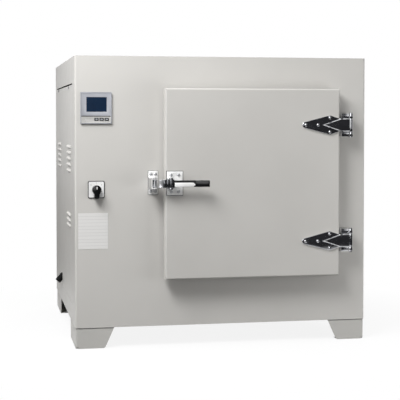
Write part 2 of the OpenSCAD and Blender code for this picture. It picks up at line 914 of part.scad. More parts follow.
shaft_in = 60;
motor_flange = 4;
module fan_motor() {
    motor_end = motor_face - motor_flange - motor_len;
    bore_in = shaft_in + motor_flange;
    color("#5d6064") difference() {
        union() {
            block(
                [motor_face - motor_flange, fan_y - motor_r - 8, fan_z - motor_r - 8],
                [motor_face, fan_y + motor_r + 8, fan_z + motor_r + 8]
            );
            rod_x([motor_end, fan_y, fan_z], motor_len + 1, motor_r);
            rod_x([motor_end - 8, fan_y, fan_z], 10, motor_r * 0.7);
            for (i = [0 : 11]) {
                translate([0, fan_y, fan_z]) rotate([i * 30, 0, 0])
                    block([motor_end + 12, -1.5, motor_r - 2], [motor_face - motor_flange - 12, 1.5, motor_r + 5]);
            }
        }
        rod_x([motor_face - bore_in, fan_y, fan_z], bore_in + 1, shaft_r + run_fit);
    }
}

module motor_shaft() {
    start = motor_face - motor_flange - shaft_in + 1;
    color("#9ea1a4") rod_x([start, fan_y, fan_z], wheel_x + wheel_w - 4 - start, shaft_r);
}

module fan_wheel() {
    disc = 2;
    color("#b7babd") difference() {
        union() {
            rod_x([wheel_x, fan_y, fan_z], disc, wheel_r);
            rod_x([wheel_x, fan_y, fan_z], wheel_w - 8, shaft_r + 9);
            for (i = [0 : blades - 1]) {
                translate([wheel_x + disc - 0.5, fan_y, fan_z]) rotate([i * 360 / blades, 0, 0])
                    translate([0, wheel_r * 0.42, 0]) rotate([28, 0, 0])
                        cube([wheel_w - disc, wheel_r * 0.5, 1.5]);
            }
        }
        rod_x([wheel_x - 1, fan_y, fan_z], wheel_w + 2, shaft_r);
    }
}

// Two hairpin heater rods, whose ends turn out through the wall
rod_out = 26;
ferrule_l = 4;
module heater_elements() {
    out = partition_x - sheet - rod_out;
    color("#6b5f57") for (s = [-1, 1]) {
        mid = fan_z + s * heater_off;
        union() {
            for (t = [-0.5, 0.5]) {
                z = mid + t * rod_pitch;
                rod_y([heater_x, heater_front, z], heater_back - heater_front, rod_r);
                translate([heater_x, heater_front, z]) sphere(rod_r);
                rod_x([out, heater_front, z], heater_x - out, rod_r);
                rod_x([partition_x - sheet - ferrule_l, heater_front, z], ferrule_l, rod_r + 4);
            }
            translate([heater_x, heater_back, mid]) rotate([0, 90, 0]) rotate_extrude(angle = 180)
                translate([rod_pitch / 2, 0]) circle(rod_r);
        }
    }
}

probe_r = 3;
probe_y = 210;
probe_z = cham_z + 120;
probe_reach = 45;
probe_out = 22;
probe_head_l = 14;
module temperature_probe() {
    out = partition_x - sheet - probe_out;
    color("#c7c9cc") union() {
        rod_x([out, probe_y, probe_z], cham_left + probe_reach - out, probe_r);
        rod_x([out - probe_head_l, probe_y, probe_z], probe_head_l, probe_r + 4);
        rod_x([partition_x - sheet - ferrule_l, probe_y, probe_z], ferrule_l, probe_r + 5);
    }
}

// Control compartment: devices clipped to a hat rail on the partition
rail_rise = 200;
rail_start = 240;
rail_len = 560;
hat_w = 35;
hat_web = 25;
hat_depth = 7.5;
hat_sheet = 1;
rail_z = base_z + rail_rise;
rail_x = partition_x - sheet;
rail_face = rail_x - hat_depth;

// The upper half of the hat rail's section, drawn up from the rail's middle
module hat_half() {
    polygon([
        [rail_x, 0],
        [rail_x, hat_web / 2],
        [rail_face + hat_sheet, hat_web / 2],
        [rail_face + hat_sheet, hat_w / 2],
        [rail_face, hat_w / 2],
        [rail_face, hat_web / 2 - hat_sheet],
        [rail_x - hat_sheet, hat_web / 2 - hat_sheet],
        [rail_x - hat_sheet, 0]
    ]);
}

module din_rail() {
    color("#b9bcbf") along_y(rail_start, rail_len) translate([0, rail_z]) union() {
        hat_half();
        mirror([0, 1]) hat_half();
    }
}

// A device in front of the rail: its place along the rail, length, height, and how far in and out it lies
module rail_device(y, len, h, near, far) {
    block([rail_face - far, y, rail_z - h / 2], [rail_face - near, y + len, rail_z + h / 2]);
}

contactor_y = 300;
contactor_l = 56;
contactor_h = 85;
contactor_d = 70;
module contactor() {
    nose = 8;
    color("#2f3134") union() {
        rail_device(contactor_y, contactor_l, contactor_h, 0, contactor_d);
        rail_device(
            contactor_y + nose, contactor_l - 2 * nose, contactor_h / 2, contactor_d - 1, contactor_d + nose
        );
    }
}

relay_y = 420;
relay_l = 45;
relay_h = 60;
relay_d = 26;
fin_t = 2;
fin_pitch = 7;
fin_h = 90;
fin_d = 40;
module heater_relay() {
    color("#35383c") union() {
        rail_device(relay_y, relay_l, relay_h, 0, relay_d);
        for (i = [0 : 6]) rail_device(relay_y + 0.5 + i * fin_pitch, fin_t, fin_h, relay_d - 1, relay_d + fin_d);
    }
}

terminal_y = 600;
terminal_w = 9;
terminal_h = 44;
terminal_d = 38;
module terminal_block() {
    hole_r = 2.4;
    hole_depth = 12;
    color("#8b9096") for (i = [0 : 7]) {
        y = terminal_y + i * terminal_w;
        difference() {
            rail_device(y, terminal_w - 0.2, terminal_h, 0, terminal_d);
            for (s = [-1, 1]) {
                rod_x(
                    [rail_face - terminal_d - 1, y + terminal_w / 2, rail_z + s * terminal_h * 0.3],
                    hole_depth, hole_r
                );
            }
        }
    }
}

// Exhaust at the back, with a butterfly damper
module vent_pipe() {
    bore = vent_r - vent_wall;
    color("#b3b5b8") difference() {
        union() {
            rod_y([cham_x, liner_back, vent_z], cab_d + collar_l - liner_back, vent_r);
            rod_y([cham_x, cab_d, vent_z], vent_flange_t, vent_r + vent_flange);
            rod_y([cham_x, cab_d, vent_z], collar_l, collar_r);
            rod_y([cham_x, cab_d + collar_l, vent_z], groove_w, vent_r - 1);
            rod_y([cham_x, cab_d + collar_l + groove_w, vent_z], vent_out - collar_l - groove_w, vent_r);
        }
        rod_y([cham_x, liner_back - 1, vent_z], cab_d + vent_out - liner_back + 2, bore);
        rod_x([cham_x - collar_r - 1, damper_y, vent_z], 2 * collar_r + 2, damper_rod + run_fit);
    }
}

module vent_damper() {
    disc_t = 1.5;
    knob_start = cham_x + collar_r + 1;
    knob_l = 10;
    knob_r = 5.5;
    tab_t = 3;
    tab_h = 18;
    rod_start = cham_x - collar_r - 2;
    color("#85888c") union() {
        rod_y([cham_x, damper_y - disc_t / 2, vent_z], disc_t, damper_r);
        rod_x([rod_start, damper_y, vent_z], knob_start + 1 - rod_start, damper_rod);
        rod_x([knob_start, damper_y, vent_z], knob_l, knob_r);
        translate([knob_start + knob_l - tab_t, damper_y - tab_t / 2, vent_z]) cube([tab_t, tab_t, tab_h]);
    }
}

// Controller

module controller_case() {
    color("#26282b") union() {
        block(
            [controls_x - case_w / 2, 0, bezel_z - case_w / 2],
            [controls_x + case_w / 2, case_d, bezel_z + case_w / 2]
        );
        block(
            [controls_x - case_w / 2 + 5, case_d, bezel_z - case_w / 2 + 10],
            [controls_x + case_w / 2 - 5, case_d + 6, bezel_z + case_w / 2 - 10]
        );
    }
}

screen_recess = 1.6;
function key_places() = [for (i = [-1 : 1]) key_x + i * key_pitch];

module controller_bezel() {
    rim = 2.5;
    color("#c3c6cc") difference() {
        translate([controls_x, 0, bezel_z]) on_front(0, bezel_t) round_rect(bezel_w, bezel_h, 3);
        translate([controls_x, 0, bezel_z]) on_front(-bezel_t + 0.8, 1)
            round_rect(bezel_w - 2 * rim, bezel_h - 2 * rim, 2);
        block(
            [screen_x - screen_w / 2, -bezel_t - 1, screen_z - screen_h / 2],
            [screen_x + screen_w / 2, -bezel_t + 0.8 + screen_recess, screen_z + screen_h / 2]
        );
        block(
            [controls_x - bezel_w / 2 + rim, -bezel_t, bezel_z - divider_down - divider_h / 2],
            [controls_x + bezel_w / 2 - rim, -bezel_t + 1.4, bezel_z - divider_down + divider_h / 2]
        );
        for (x = key_places()) {
            block(
                [x - key_w / 2 - key_gap, -bezel_t - 1, key_z - key_h / 2 - key_gap],
                [x + key_w / 2 + key_gap, 1, key_z + key_h / 2 + key_gap]
            );
        }
        for (z = [key_z, key_z - lamp_pitch]) rod_y([controls_x - lamp_in, -bezel_t, z], 2, lamp_r);
    }
}

module controller_screen() {
    color("#1a2a3a") block(
        [screen_x - screen_w / 2, -bezel_t + 0.8, screen_z - screen_h / 2],
        [screen_x + screen_w / 2, -bezel_t + 0.8 + screen_recess, screen_z + screen_h / 2]
    );
}

module key(x) {
    front = -bezel_t + 0.8 - key_out;
    color("#9aa0a8") on_front(-rest_gap - key_travel, -rest_gap - key_travel - front)
        translate([x, key_z]) round_rect(key_w, key_h, 1.2);
}

module key_left() { key(key_places()[0]); }
module key_middle() { key(key_places()[1]); }
module key_right() { key(key_places()[2]); }

// Rotary switch

module switch_body() {
    depth = 52;
    half = 22;
    color("#2a2c2f") difference() {
        union() {
            block(
                [controls_x - half, sheet, switch_z - half],
                [controls_x + half, sheet + depth, switch_z + half]
            );
            rod_y([controls_x, 0, switch_z], sheet + 1, bush_r);
        }
        rod_y([controls_x, -1, switch_z], spindle_in + 1, spindle_r + run_fit);
    }
}

module switch_frame() {
    color("#1d1e20") difference() {
        translate([controls_x, 0, switch_z]) on_front(0, frame_t) round_rect(switch_w, switch_h, 5);
        rod_y([controls_x, -frame_t - 1, switch_z], frame_t + 2, spindle_hole);
    }
}

module switch_plate() {
    color("#d6d8da") difference() {
        translate([controls_x, 0, switch_z]) on_front(-frame_t, switch_plate_t)
            round_rect(switch_w - 2 * frame_rim, switch_h - 2 * frame_rim, 4);
        rod_y([controls_x, switch_face - 1, switch_z], switch_plate_t + 2, spindle_hole);
    }
}

module switch_knob() {
    back = switch_face - rest_gap;
    tail_w = 8.5;
    color("#141416") union() {
        rod_y([controls_x, back - knob_h, switch_z], knob_h, knob_r);
        on_front(back, knob_h) translate([controls_x, switch_z]) polygon([
            [-knob_r * 0.85, -knob_r * 0.5],
            [-tail_w, -knob_r],
            [-tail_w, -knob_tail + 4],
            [-tail_w + 4, -knob_tail],
            [tail_w - 4, -knob_tail],
            [tail_w, -knob_tail + 4],
            [tail_w, -knob_r],
            [knob_r * 0.85, -knob_r * 0.5]
        ]);
        rod_y([controls_x, back - 1, switch_z], spindle_in - back, spindle_r);
    }
}

module data_label() {
    color("#dedcda") translate([controls_x - label_shift, 0, label_z]) on_front(0, label_t)
        round_rect(label_w, label_h, 1.5);
}

// Angled cable gland on the left side
module cable_gland() {
    nut = 5;
    flange = 4;
    clear = 2 * gland_r;
    color("#1b1c1e") difference() {
        union() {
            rod_x([left_x - flange, gland_back, gland_z], flange, gland_r + 4);
            rod_x([left_x - 2 * flange, gland_back, gland_z], flange + 1, gland_r + 1.5);
            difference() {
                translate([gland_x, gland_back, gland_z]) rotate([0, -90 - gland_angle, 0])
                    cylinder(h = gland_len, r = gland_r);
                block(
                    [gland_x, gland_back - clear, gland_z - clear],
                    [gland_x + clear, gland_back + clear, gland_z + clear]
                );
            }
            rod_x([left_x - 1, gland_back, gland_z], sheet + nut + 6, gland_r - 2);
            translate([inner_left, gland_back, gland_z]) rotate([0, 90, 0])
                cylinder(h = nut, r = gland_r + 2, $fn = 6);
        }
        translate([gland_x, gland_back, gland_z]) {
            sphere(gland_cavity);
            rotate([0, -90 - gland_angle, 0]) cylinder(h = gland_len + 1, r = gland_bore);
            rod_x([0, 0, 0], sheet + nut + 10, gland_bore);
        }
    }
}

// Keeper on the front panel

module keeper_bracket() {
    half = lever_h / 2 + ear_t + flange_h;
    color("#cfd1d3") difference() {
        union() {
            block([keeper_left, -plate_t, latch_z - half], [keeper_left + keeper_w, 0, latch_z + half]);
            for (z = [latch_z - lever_h / 2 - ear_t - rest_gap, latch_z + lever_h / 2 + rest_gap]) {
                upright(z, ear_t) union() {
                    translate([keeper_left, roller_y])
                        square([roller_x + keeper_lug_r - keeper_left, -roller_y - plate_t]);
                    translate([roller_x, roller_y]) circle(keeper_lug_r);
                    translate([keeper_left, roller_y - keeper_lug_r])
                        square([roller_x - keeper_left, keeper_lug_r + 1]);
                }
            }
            block(
                [keeper_left, roller_y - keeper_lug_r, latch_z - lever_h / 2 - rest_gap - 0.01],
                [keeper_left + ear_t, -plate_t + 0.01, latch_z + lever_h / 2 + rest_gap + 0.01]
            );
        }
        rod_z([roller_x, roller_y, latch_z - 40], 80, roller_pin_r);
        for (p = keeper_screws()) screw_hole(p[0], p[1], -plate_t - 1, 1);
    }
}

module keeper_pin() {
    half = lever_h / 2 + ear_t + rest_gap;
    color("#9b9da0") union() {
        rod_z([roller_x, roller_y, latch_z - half - 2], 2 * half + 4, roller_pin_r);
        rod_z([roller_x, roller_y, latch_z + half], 3, roller_pin_r + 2.5);
        rod_z([roller_x, roller_y, latch_z - half - 3], 3, roller_pin_r + 2.5);
    }
}

module keeper_roller() {
    color("#6f7276") difference() {
        rod_z([roller_x, roller_y, latch_z - lever_h / 2], lever_h, roller_r);
        rod_z([roller_x, roller_y, latch_z - lever_h / 2 - 1], lever_h + 2, roller_pin_r + run_fit);
    }
}

// Screws of the hinge brackets and the keeper
module front_screws() {
    color("#a4a6a8") union() {
        for (z = [lower_hinge_z, upper_hinge_z], p = bracket_screws(z)) {
            screw_back(p[0], -plate_t, p[1], plate_t + screw_l);
        }
        for (p = keeper_screws()) screw_back(p[0], -plate_t, p[1], plate_t + screw_l);
    }
}

// Strap hinges

strap_wide = 35;
rib_len = 56;
module hinge_bracket(z) {
    x0 = door_right + lug_start;
    x1 = axis_x - knuckle_r / 2;
    bottom = z - strap_knuckle_h / 2 - lug_gap - lug_h;
    color("#6a6c70") difference() {
        union() {
            block([x0, -plate_t, bottom], [x1, 0, bottom + 2 * (lug_h + lug_gap) + strap_knuckle_h]);
            for (low = [bottom, z + strap_knuckle_h / 2 + lug_gap]) {
                upright(low, lug_h) union() {
                    translate([axis_x, axis_y]) circle(knuckle_r);
                    polygon([
                        [x0, -plate_t + 0.5],
                        [x0, axis_y + 6],
                        [x0 + 5, axis_y - 1],
                        [axis_x, axis_y - 1],
                        [axis_x + knuckle_r * 0.8, axis_y + knuckle_r * 0.6],
                        [x1, -plate_t + 0.5]
                    ]);
                }
            }
        }
        rod_z([axis_x, axis_y, bottom - 1], 2 * (lug_h + lug_gap) + strap_knuckle_h + 2, pin_r);
        for (p = bracket_screws(z)) screw_hole(p[0], p[1], -plate_t - 1, 1);
    }
}

module hinge_upper_bracket() { hinge_bracket(upper_hinge_z); }
module hinge_lower_bracket() { hinge_bracket(lower_hinge_z); }

module hinge_pins() {
    color("#d9dadc") for (z = [lower_hinge_z, upper_hinge_z]) {
        half = strap_knuckle_h / 2 + lug_gap + lug_h;
        union() {
            rod_z([axis_x, axis_y, z - half - 1], 2 * half + 2, pin_r);
            rod_z([axis_x, axis_y, z + half], 2.5, pin_r + 1.5);
            rod_z([axis_x, axis_y, z - half - 2.5], 2.5, pin_r + 1.5);
        }
    }
}

module hinge_strap(z) {
    tip_x = door_right - strap_len;
    wide_x = door_right - strap_wide;
    tip_r = 10;
    rib_apex = door_right - rib_len;
    rib_root = door_right + 6;
    rib_end = door_right + 8;
    half = strap_knuckle_h / 2;
    color("#55575b") difference() {
        union() {
            on_front(door_face, strap_t) translate([0, z]) union() {
                translate([tip_x, 0]) circle(tip_r);
                polygon([
                    [tip_x - 3, tip_r * 0.95],
                    [wide_x - 5, strap_h / 2 - 1],
                    [wide_x + 1, strap_h / 2],
                    [wide_x + 6, strap_h / 2 - 1.5],
                    [door_right - 2, half],
                    [door_right - 2, -half],
                    [wide_x + 6, -strap_h / 2 + 1.5],
                    [wide_x + 1, -strap_h / 2],
                    [wide_x - 5, -strap_h / 2 + 1],
                    [tip_x - 3, -tip_r * 0.95]
                ]);
            }
            on_front(strap_face + 0.01, strap_t) translate([0, z]) polygon([
                [rib_apex, 0],
                [rib_root, half],
                [rib_end, half],
                [rib_end, -half],
                [rib_root, -half]
            ]);
            upright(z - half, strap_knuckle_h) union() {
                translate([axis_x, axis_y]) circle(knuckle_r);
                polygon([
                    [door_right - 2, strap_face],
                    [door_right - 2, door_face],
                    [door_right + 4, door_face],
                    [axis_x - knuckle_r * 0.7, axis_y + knuckle_r * 0.4],
                    [axis_x, axis_y],
                    [axis_x - knuckle_r * 0.8, axis_y - knuckle_r * 0.6],
                    [rib_end, rib_face + 0.01],
                    [rib_root, rib_face + 0.01],
                    [rib_root, strap_face]
                ]);
            }
        }
        rod_z([axis_x, axis_y, z - half - 1], strap_knuckle_h + 2, pin_r + run_fit);
        for (p = strap_screws(z)) screw_hole(p[0], p[1], strap_face - 1, door_face + 1);
    }
}

module hinge_upper_strap() { hinge_strap(upper_hinge_z); }
module hinge_lower_strap() { hinge_strap(lower_hinge_z); }

// Screws of the straps and the latch base
module door_screws() {
    color("#c9cacc") union() {
        for (z = [lower_hinge_z, upper_hinge_z], p = strap_screws(z)) {
            screw_back(p[0], strap_face, p[1], strap_t + screw_l);
        }
        for (p = base_screws()) screw_back(p[0], door_face - plate_t, p[1], plate_t + screw_l);
    }
}

// Door

module door_skin() {
    color("#c4c3bf") difference() {
        intersection() {
            upright(door_low, door_high - door_low)
                bent_plan(door_left, door_right, door_face, door_back, door_r);
            along_x(door_left, door_right - door_left) mirror([1, -1])
                bent_plan(door_low, door_high, door_face, door_back, door_r);
        }
        block(
            [door_left + skin_t, door_face + skin_t, door_low + skin_t],
            [door_right - skin_t, door_back + 1, door_high - skin_t]
        );
        for (z = [lower_hinge_z, upper_hinge_z], p = strap_screws(z)) {
            screw_hole(p[0], p[1], door_face - 1, door_face + skin_t + 1);
        }
        for (p = base_screws()) screw_hole(p[0], p[1], door_face - 1, door_face + skin_t + 1);
    }
}

inner_plate_y = door_back - 4;
module door_insulation() {
    color("#d8c98e") union() {
        block(
            [door_left + skin_t, door_face + screw_room, door_low + skin_t],
            [door_right - skin_t, inner_plate_y, door_high - skin_t]
        );
        block(
            [plug_left + skin_t, inner_plate_y, plug_low + skin_t],
            [plug_right - skin_t, plug_d - skin_t, plug_high - skin_t]
        );
    }
}

// Stainless inner plate with the plug pressed out of it
module door_inner_plate() {
    color("#b9bbbd") difference() {
        union() {
            block(
                [door_left + skin_t, inner_plate_y, door_low + skin_t],
                [door_right - skin_t, inner_plate_y + skin_t, door_high - skin_t]
            );
            block([plug_left, inner_plate_y, plug_low], [plug_right, plug_d, plug_high]);
        }
        block(
            [plug_left + skin_t, inner_plate_y - 1, plug_low + skin_t],
            [plug_right - skin_t, plug_d - skin_t, plug_high - skin_t]
        );
    }
}

module door_seal() {
    inset = (door_lap_z - seal_w) / 2;
    inset_x = (door_lap_x - seal_w) / 2;
    back = -rest_gap;
    color("#3b3d40") difference() {
        block(
            [door_left + inset_x, inner_plate_y + skin_t, door_low + inset],
            [door_right - inset_x, back, door_high - inset]
        );
        block(
            [door_left + inset_x + seal_w, inner_plate_y, door_low + inset + seal_w],
            [door_right - inset_x - seal_w, back + 1, door_high - inset - seal_w]
        );
    }
}

// Latch on the door

module latch_base() {
    x0 = door_left + base_in;
    low = latch_z - lever_h / 2 - ear_t - flange_h;
    color("#d3d5d7") difference() {
        union() {
            block(
                [x0, door_face - plate_t, low],
                [x0 + base_w, door_face, low + lever_h + 2 * (ear_t + flange_h)]
            );
            for (z = [latch_z - lever_h / 2 - ear_t - rest_gap, latch_z + lever_h / 2 + rest_gap]) {
                upright(z, ear_t) union() {
                    translate([latch_x, latch_y]) circle(ear_r);
                    translate([x0, latch_y]) square([latch_x + ear_r - x0, door_face - latch_y]);
                }
            }
        }
        rod_z([latch_x, latch_y, latch_z - 40], 80, latch_pin_r);
        for (p = base_screws()) screw_hole(p[0], p[1], door_face - plate_t - 1, door_face + 1);
    }
}

module latch_pin() {
    half = lever_h / 2 + ear_t + rest_gap;
    color("#9b9da0") union() {
        rod_z([latch_x, latch_y, latch_z - half - 2], 2 * half + 4, latch_pin_r);
        rod_z([latch_x, latch_y, latch_z + half], 2.5, latch_pin_r + 2.5);
        rod_z([latch_x, latch_y, latch_z - half - 2.5], 2.5, latch_pin_r + 2.5);
    }
}

lever_end = 10;
module latch_lever() {
    color("#4b4d51") difference() {
        upright(latch_z - lever_h / 2, lever_h) union() {
            translate([nose_x, latch_y]) circle(lever_r);
            translate([nose_x, latch_y - lever_r]) square([nose_len + lever_end, 2 * lever_r]);
        }
        rod_z([latch_x, latch_y, latch_z - lever_h], 2 * lever_h, latch_pin_r + run_fit);
    }
}

// Grip bar with a bevelled top edge and a flared tip
grip_t = 10;
grip_bevel = 6;
grip_lap = 1;
grip_bend = 0.64;
module latch_grip() {
    root = latch_x + lever_end;
    bend = latch_x + grip_len * grip_bend;
    tip = latch_x + grip_len;
    low = latch_z - grip_h / 2;
    high = latch_z + grip_h / 2;
    color("#c8cacd") union() {
        along_x(root, bend - root) polygon([
            [grip_front, low],
            [grip_front + grip_t, low],
            [grip_front + grip_t, high],
            [grip_front + grip_bevel, high],
            [grip_front, high - grip_bevel]
        ]);
        upright(low, grip_h) polygon([
            [bend - grip_lap, grip_front],
            [tip - 3, grip_front - grip_flare],
            [tip, grip_front - grip_flare + 4],
            [tip - 1, grip_front - grip_flare + grip_t - 2],
            [bend - grip_lap, grip_front + grip_t]
        ]);
    }
}

place() front_panel();
place() left_frame();
place() left_cover();
place() right_panel();
place() rear_panel();
place() top_panel();
place() base_pan();
place() foot_front_left();
place() foot_front_right();
place() foot_rear_left();
place() foot_rear_right();
place() cabinet_screws();
place() chamber_liner();
place() duct_panel();
place() shelf_rails();
place() cabinet_insulation();
place() partition_plate();
place() fan_motor();
place() motor_shaft();
place() fan_wheel();
place() heater_elements();
place() temperature_probe();
place() din_rail();
place() contactor();
place() terminal_block();
place() heater_relay();
place() vent_pipe();
place() vent_damper();
place() controller_case();
place() controller_bezel();
place() controller_screen();
place() key_left();
place() key_middle();
place() key_right();
place() switch_body();
place() switch_frame();
place() switch_plate();
place() switch_knob();
place() data_label();
place() cable_gland();
place() keeper_bracket();
place() keeper_pin();
place() keeper_roller();
place() front_screws();
place() hinge_upper_bracket();
place() hinge_lower_bracket();
place() hinge_pins();
place() hinge_upper_strap();
place() hinge_lower_strap();
place() door_screws();
place() door_skin();
place() door_insulation();
place() door_inner_plate();
place() door_seal();
place() latch_base();
place() latch_pin();
place() latch_lever();
place() latch_grip();
place() shelf_lower();
place() shelf_upper();
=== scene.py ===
# %% [markdown]
# # Dressing a hot air drying oven
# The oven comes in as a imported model: sixty named nodes of closed solids, at their real sizes and with
# their joints. This lesson gives each of them the surface that it really has, and replaces those that
# show most, such as the strap hinges, the latch and the screws, by pieces with rounded edges and finer
# shapes.

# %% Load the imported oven
import json
import math

import bmesh
import bpy
from mathutils import Matrix, Vector


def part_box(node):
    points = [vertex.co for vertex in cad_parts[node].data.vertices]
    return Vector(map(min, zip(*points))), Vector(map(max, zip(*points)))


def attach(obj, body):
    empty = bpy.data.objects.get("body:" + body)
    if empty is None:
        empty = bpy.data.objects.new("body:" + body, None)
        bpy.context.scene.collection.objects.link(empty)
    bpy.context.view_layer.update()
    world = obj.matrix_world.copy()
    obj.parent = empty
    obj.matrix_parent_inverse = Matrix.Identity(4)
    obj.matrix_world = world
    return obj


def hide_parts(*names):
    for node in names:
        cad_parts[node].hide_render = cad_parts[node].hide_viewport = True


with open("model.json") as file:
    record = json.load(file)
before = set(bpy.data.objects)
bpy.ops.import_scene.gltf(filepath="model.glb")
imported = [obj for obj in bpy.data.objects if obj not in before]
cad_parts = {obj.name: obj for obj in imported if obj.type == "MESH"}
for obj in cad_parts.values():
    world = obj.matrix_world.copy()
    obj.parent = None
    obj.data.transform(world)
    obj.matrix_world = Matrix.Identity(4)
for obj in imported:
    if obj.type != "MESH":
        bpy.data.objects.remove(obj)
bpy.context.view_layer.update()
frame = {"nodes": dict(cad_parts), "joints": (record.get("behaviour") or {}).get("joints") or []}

MM = 0.001

# %% [markdown]
# ## The camera
# The photographer stood a little to the left of the oven and aimed slightly down at it. The camera was
# found by fitting the oven's corners to the picture, so the place, the aim and the lens come together.
# The small shift brings the oven up to the picture's middle without tilting its upright edges.

# %% Camera
CAMERA_PLACE = Vector((-0.7695, -4.0705, 0.737))
CAMERA_TURN = math.radians(10.93)
CAMERA_TILT = math.radians(-2.02)

camera_data = bpy.data.cameras.new("camera")
camera_data.lens = 102.6
camera_data.sensor_width = 36.0
camera_data.shift_y = -0.1
camera = bpy.data.objects.new("camera", camera_data)
camera.location = CAMERA_PLACE
camera.rotation_euler = (math.radians(90) + CAMERA_TILT, 0.0, -CAMERA_TURN)
bpy.context.scene.collection.objects.link(camera)
bpy.context.scene.camera = camera
print("lens:", camera_data.lens, "mm")

# %% [markdown]
# ## Helpers for materials
# A colour picker shows sRGB values, but a shader works in linear light, so every colour passes through
# one function. A second function adds any shader node with its settings and its links. The third starts
# a material with the Principled shader and with Object coordinates, which on these pieces are metres.
# The last two blend two colours, and spread a noise's middle range over the range that is needed.

# %% Material helpers
def linear(colour):
    channels = [int(colour[i:i + 2], 16) / 255 for i in (1, 3, 5)]
    return tuple(c / 12.92 if c <= 0.04045 else ((c + 0.055) / 1.055) ** 2.4 for c in channels) + (1.0,)


def add_node(tree, kind, sockets=None, **settings):
    made = tree.nodes.new(kind)
    for name, value in settings.items():
        setattr(made, name, value)
    for name, value in (sockets or {}).items():
        if isinstance(value, bpy.types.NodeSocket):
            tree.links.new(value, made.inputs[name])
        else:
            made.inputs[name].default_value = value
    return made


def start_material(name, **values):
    made = bpy.data.materials.new(name)
    made.use_nodes = True
    tree = made.node_tree
    tree.nodes.clear()
    shader = add_node(tree, "ShaderNodeBsdfPrincipled", values)
    add_node(tree, "ShaderNodeOutputMaterial", {"Surface": shader.outputs["BSDF"]})
    place = add_node(tree, "ShaderNodeTexCoord").outputs["Object"]
    return made, tree, shader, place


def blend_colours(tree, factor, low, high):
    mix = add_node(tree, "ShaderNodeMix", {0: factor, 6: low, 7: high}, data_type="RGBA")
    return mix.outputs[2]


def spread(tree, value, low, high, start=0.3, end=0.7):
    ranged = add_node(
        tree, "ShaderNodeMapRange",
        {"Value": value, "From Min": start, "From Max": end, "To Min": low, "To Max": high},
    )
    return ranged.outputs["Result"]


print("material helpers ready")

# %% [markdown]
# ## Powder coat
# The cabinet is sheet steel with a baked powder coat. The melted powder leaves an orange peel of soft
# bumps 2 to 4 mm across, and its film is never quite even, so a slow noise varies the tone and a finer
# one the roughness. Real peel is shallow, so it shows as a slight ripple in the highlights only. The
# shade in the narrow groove where each foot meets the cabinet is painted as a dark step in the colour
# at that height.

# %% Powder coat
def powder_coat(name, dark, light, rough=0.42, peel_size=3.0, peel_depth=0.05, groove_shade_height=None):
    made, tree, shader, place = start_material(name)
    cloud = add_node(tree, "ShaderNodeTexNoise", {"Vector": place, "Scale": 1 / (260 * MM), "Detail": 3.0})
    tone = blend_colours(tree, spread(tree, cloud.outputs["Fac"], 0.0, 1.0), linear(dark), linear(light))
    peel = add_node(
        tree, "ShaderNodeTexNoise",
        {"Vector": place, "Scale": 1 / (peel_size * MM), "Detail": 2.0, "Roughness": 0.4},
    )
    film = add_node(tree, "ShaderNodeTexNoise", {"Vector": place, "Scale": 1 / (45 * MM), "Detail": 4.0})
    bump = add_node(
        tree, "ShaderNodeBump", {"Height": peel.outputs["Fac"], "Strength": 0.5, "Distance": peel_depth * MM}
    )
    # Painted shade: a dark band in the colour at the foot's groove stands for the shade inside it.
    if groove_shade_height:
        height = add_node(tree, "ShaderNodeSeparateXYZ", {0: place}).outputs["Z"]
        in_groove_shade = spread(tree, height, 0.0, 1.0, groove_shade_height - 0.2 * MM, groove_shade_height + 0.2 * MM)
        tone = blend_colours(tree, in_groove_shade, tone, linear("#4E4E4C"))
    tree.links.new(tone, shader.inputs["Base Color"])
    tree.links.new(spread(tree, film.outputs["Fac"], rough - 0.04, rough + 0.05), shader.inputs["Roughness"])
    tree.links.new(bump.outputs["Normal"], shader.inputs["Normal"])
    return made


cabinet_paint = powder_coat("powder_coat_warm_grey", "#C6C4C0", "#CAC8C4")
door_paint = powder_coat("powder_coat_door", "#C3C1BD", "#C8C6C2", rough=0.4)
# Height of the painted groove shade, 2.5 mm below the top of the feet.
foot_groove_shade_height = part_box("foot_front_left")[1].z - 2.5 * MM
foot_paint = powder_coat("powder_coat_feet", "#BCBBB7", "#C4C2BE", rough=0.48, groove_shade_height=foot_groove_shade_height)
motor_enamel = powder_coat("stove_enamel_dark", "#3C3F43", "#4A4D52", rough=0.35, peel_size=2.0)
print("paints:", cabinet_paint.name, door_paint.name, foot_paint.name)

# %% [markdown]
# ## Sheet metals
# The chamber is brushed stainless steel: a belt of fine grit leaves long parallel scratches. Real ones
# are far finer than a pixel, so they are drawn a few times wider. Each material stretches one noise
# along the brushing direction and uses it for the roughness, the tone and a faint bump.

# %% Brushed and rolled sheet
def brushed_metal(name, dark, light, along="X", rough=0.3, length=90.0, width=0.9):
    made, tree, shader, place = start_material(name, Metallic=1.0)
    fine = 1 / (width * MM)
    long = 1 / (length * MM)
    stretch = {"X": (long, fine, fine), "Y": (fine, long, fine), "Z": (fine, fine, long)}[along]
    mapped = add_node(tree, "ShaderNodeMapping", {"Vector": place, "Scale": stretch})
    grain = add_node(
        tree, "ShaderNodeTexNoise",
        {"Vector": mapped.outputs["Vector"], "Scale": 1.0, "Detail": 4.0, "Roughness": 0.6},
    )
    stain = add_node(tree, "ShaderNodeTexNoise", {"Vector": place, "Scale": 1 / (120 * MM), "Detail": 3.0})
    tone = blend_colours(tree, spread(tree, grain.outputs["Fac"], 0.0, 1.0), linear(dark), linear(light))
    scratched = spread(tree, grain.outputs["Fac"], -0.03, 0.04)
    stained = spread(tree, stain.outputs["Fac"], rough - 0.03, rough + 0.04)
    worn = add_node(tree, "ShaderNodeMath", {0: scratched, 1: stained}, operation="ADD")
    bump = add_node(
        tree, "ShaderNodeBump", {"Height": grain.outputs["Fac"], "Strength": 0.15, "Distance": 0.03 * MM}
    )
    tree.links.new(tone, shader.inputs["Base Color"])
    tree.links.new(worn.outputs["Value"], shader.inputs["Roughness"])
    tree.links.new(bump.outputs["Normal"], shader.inputs["Normal"])
    return made


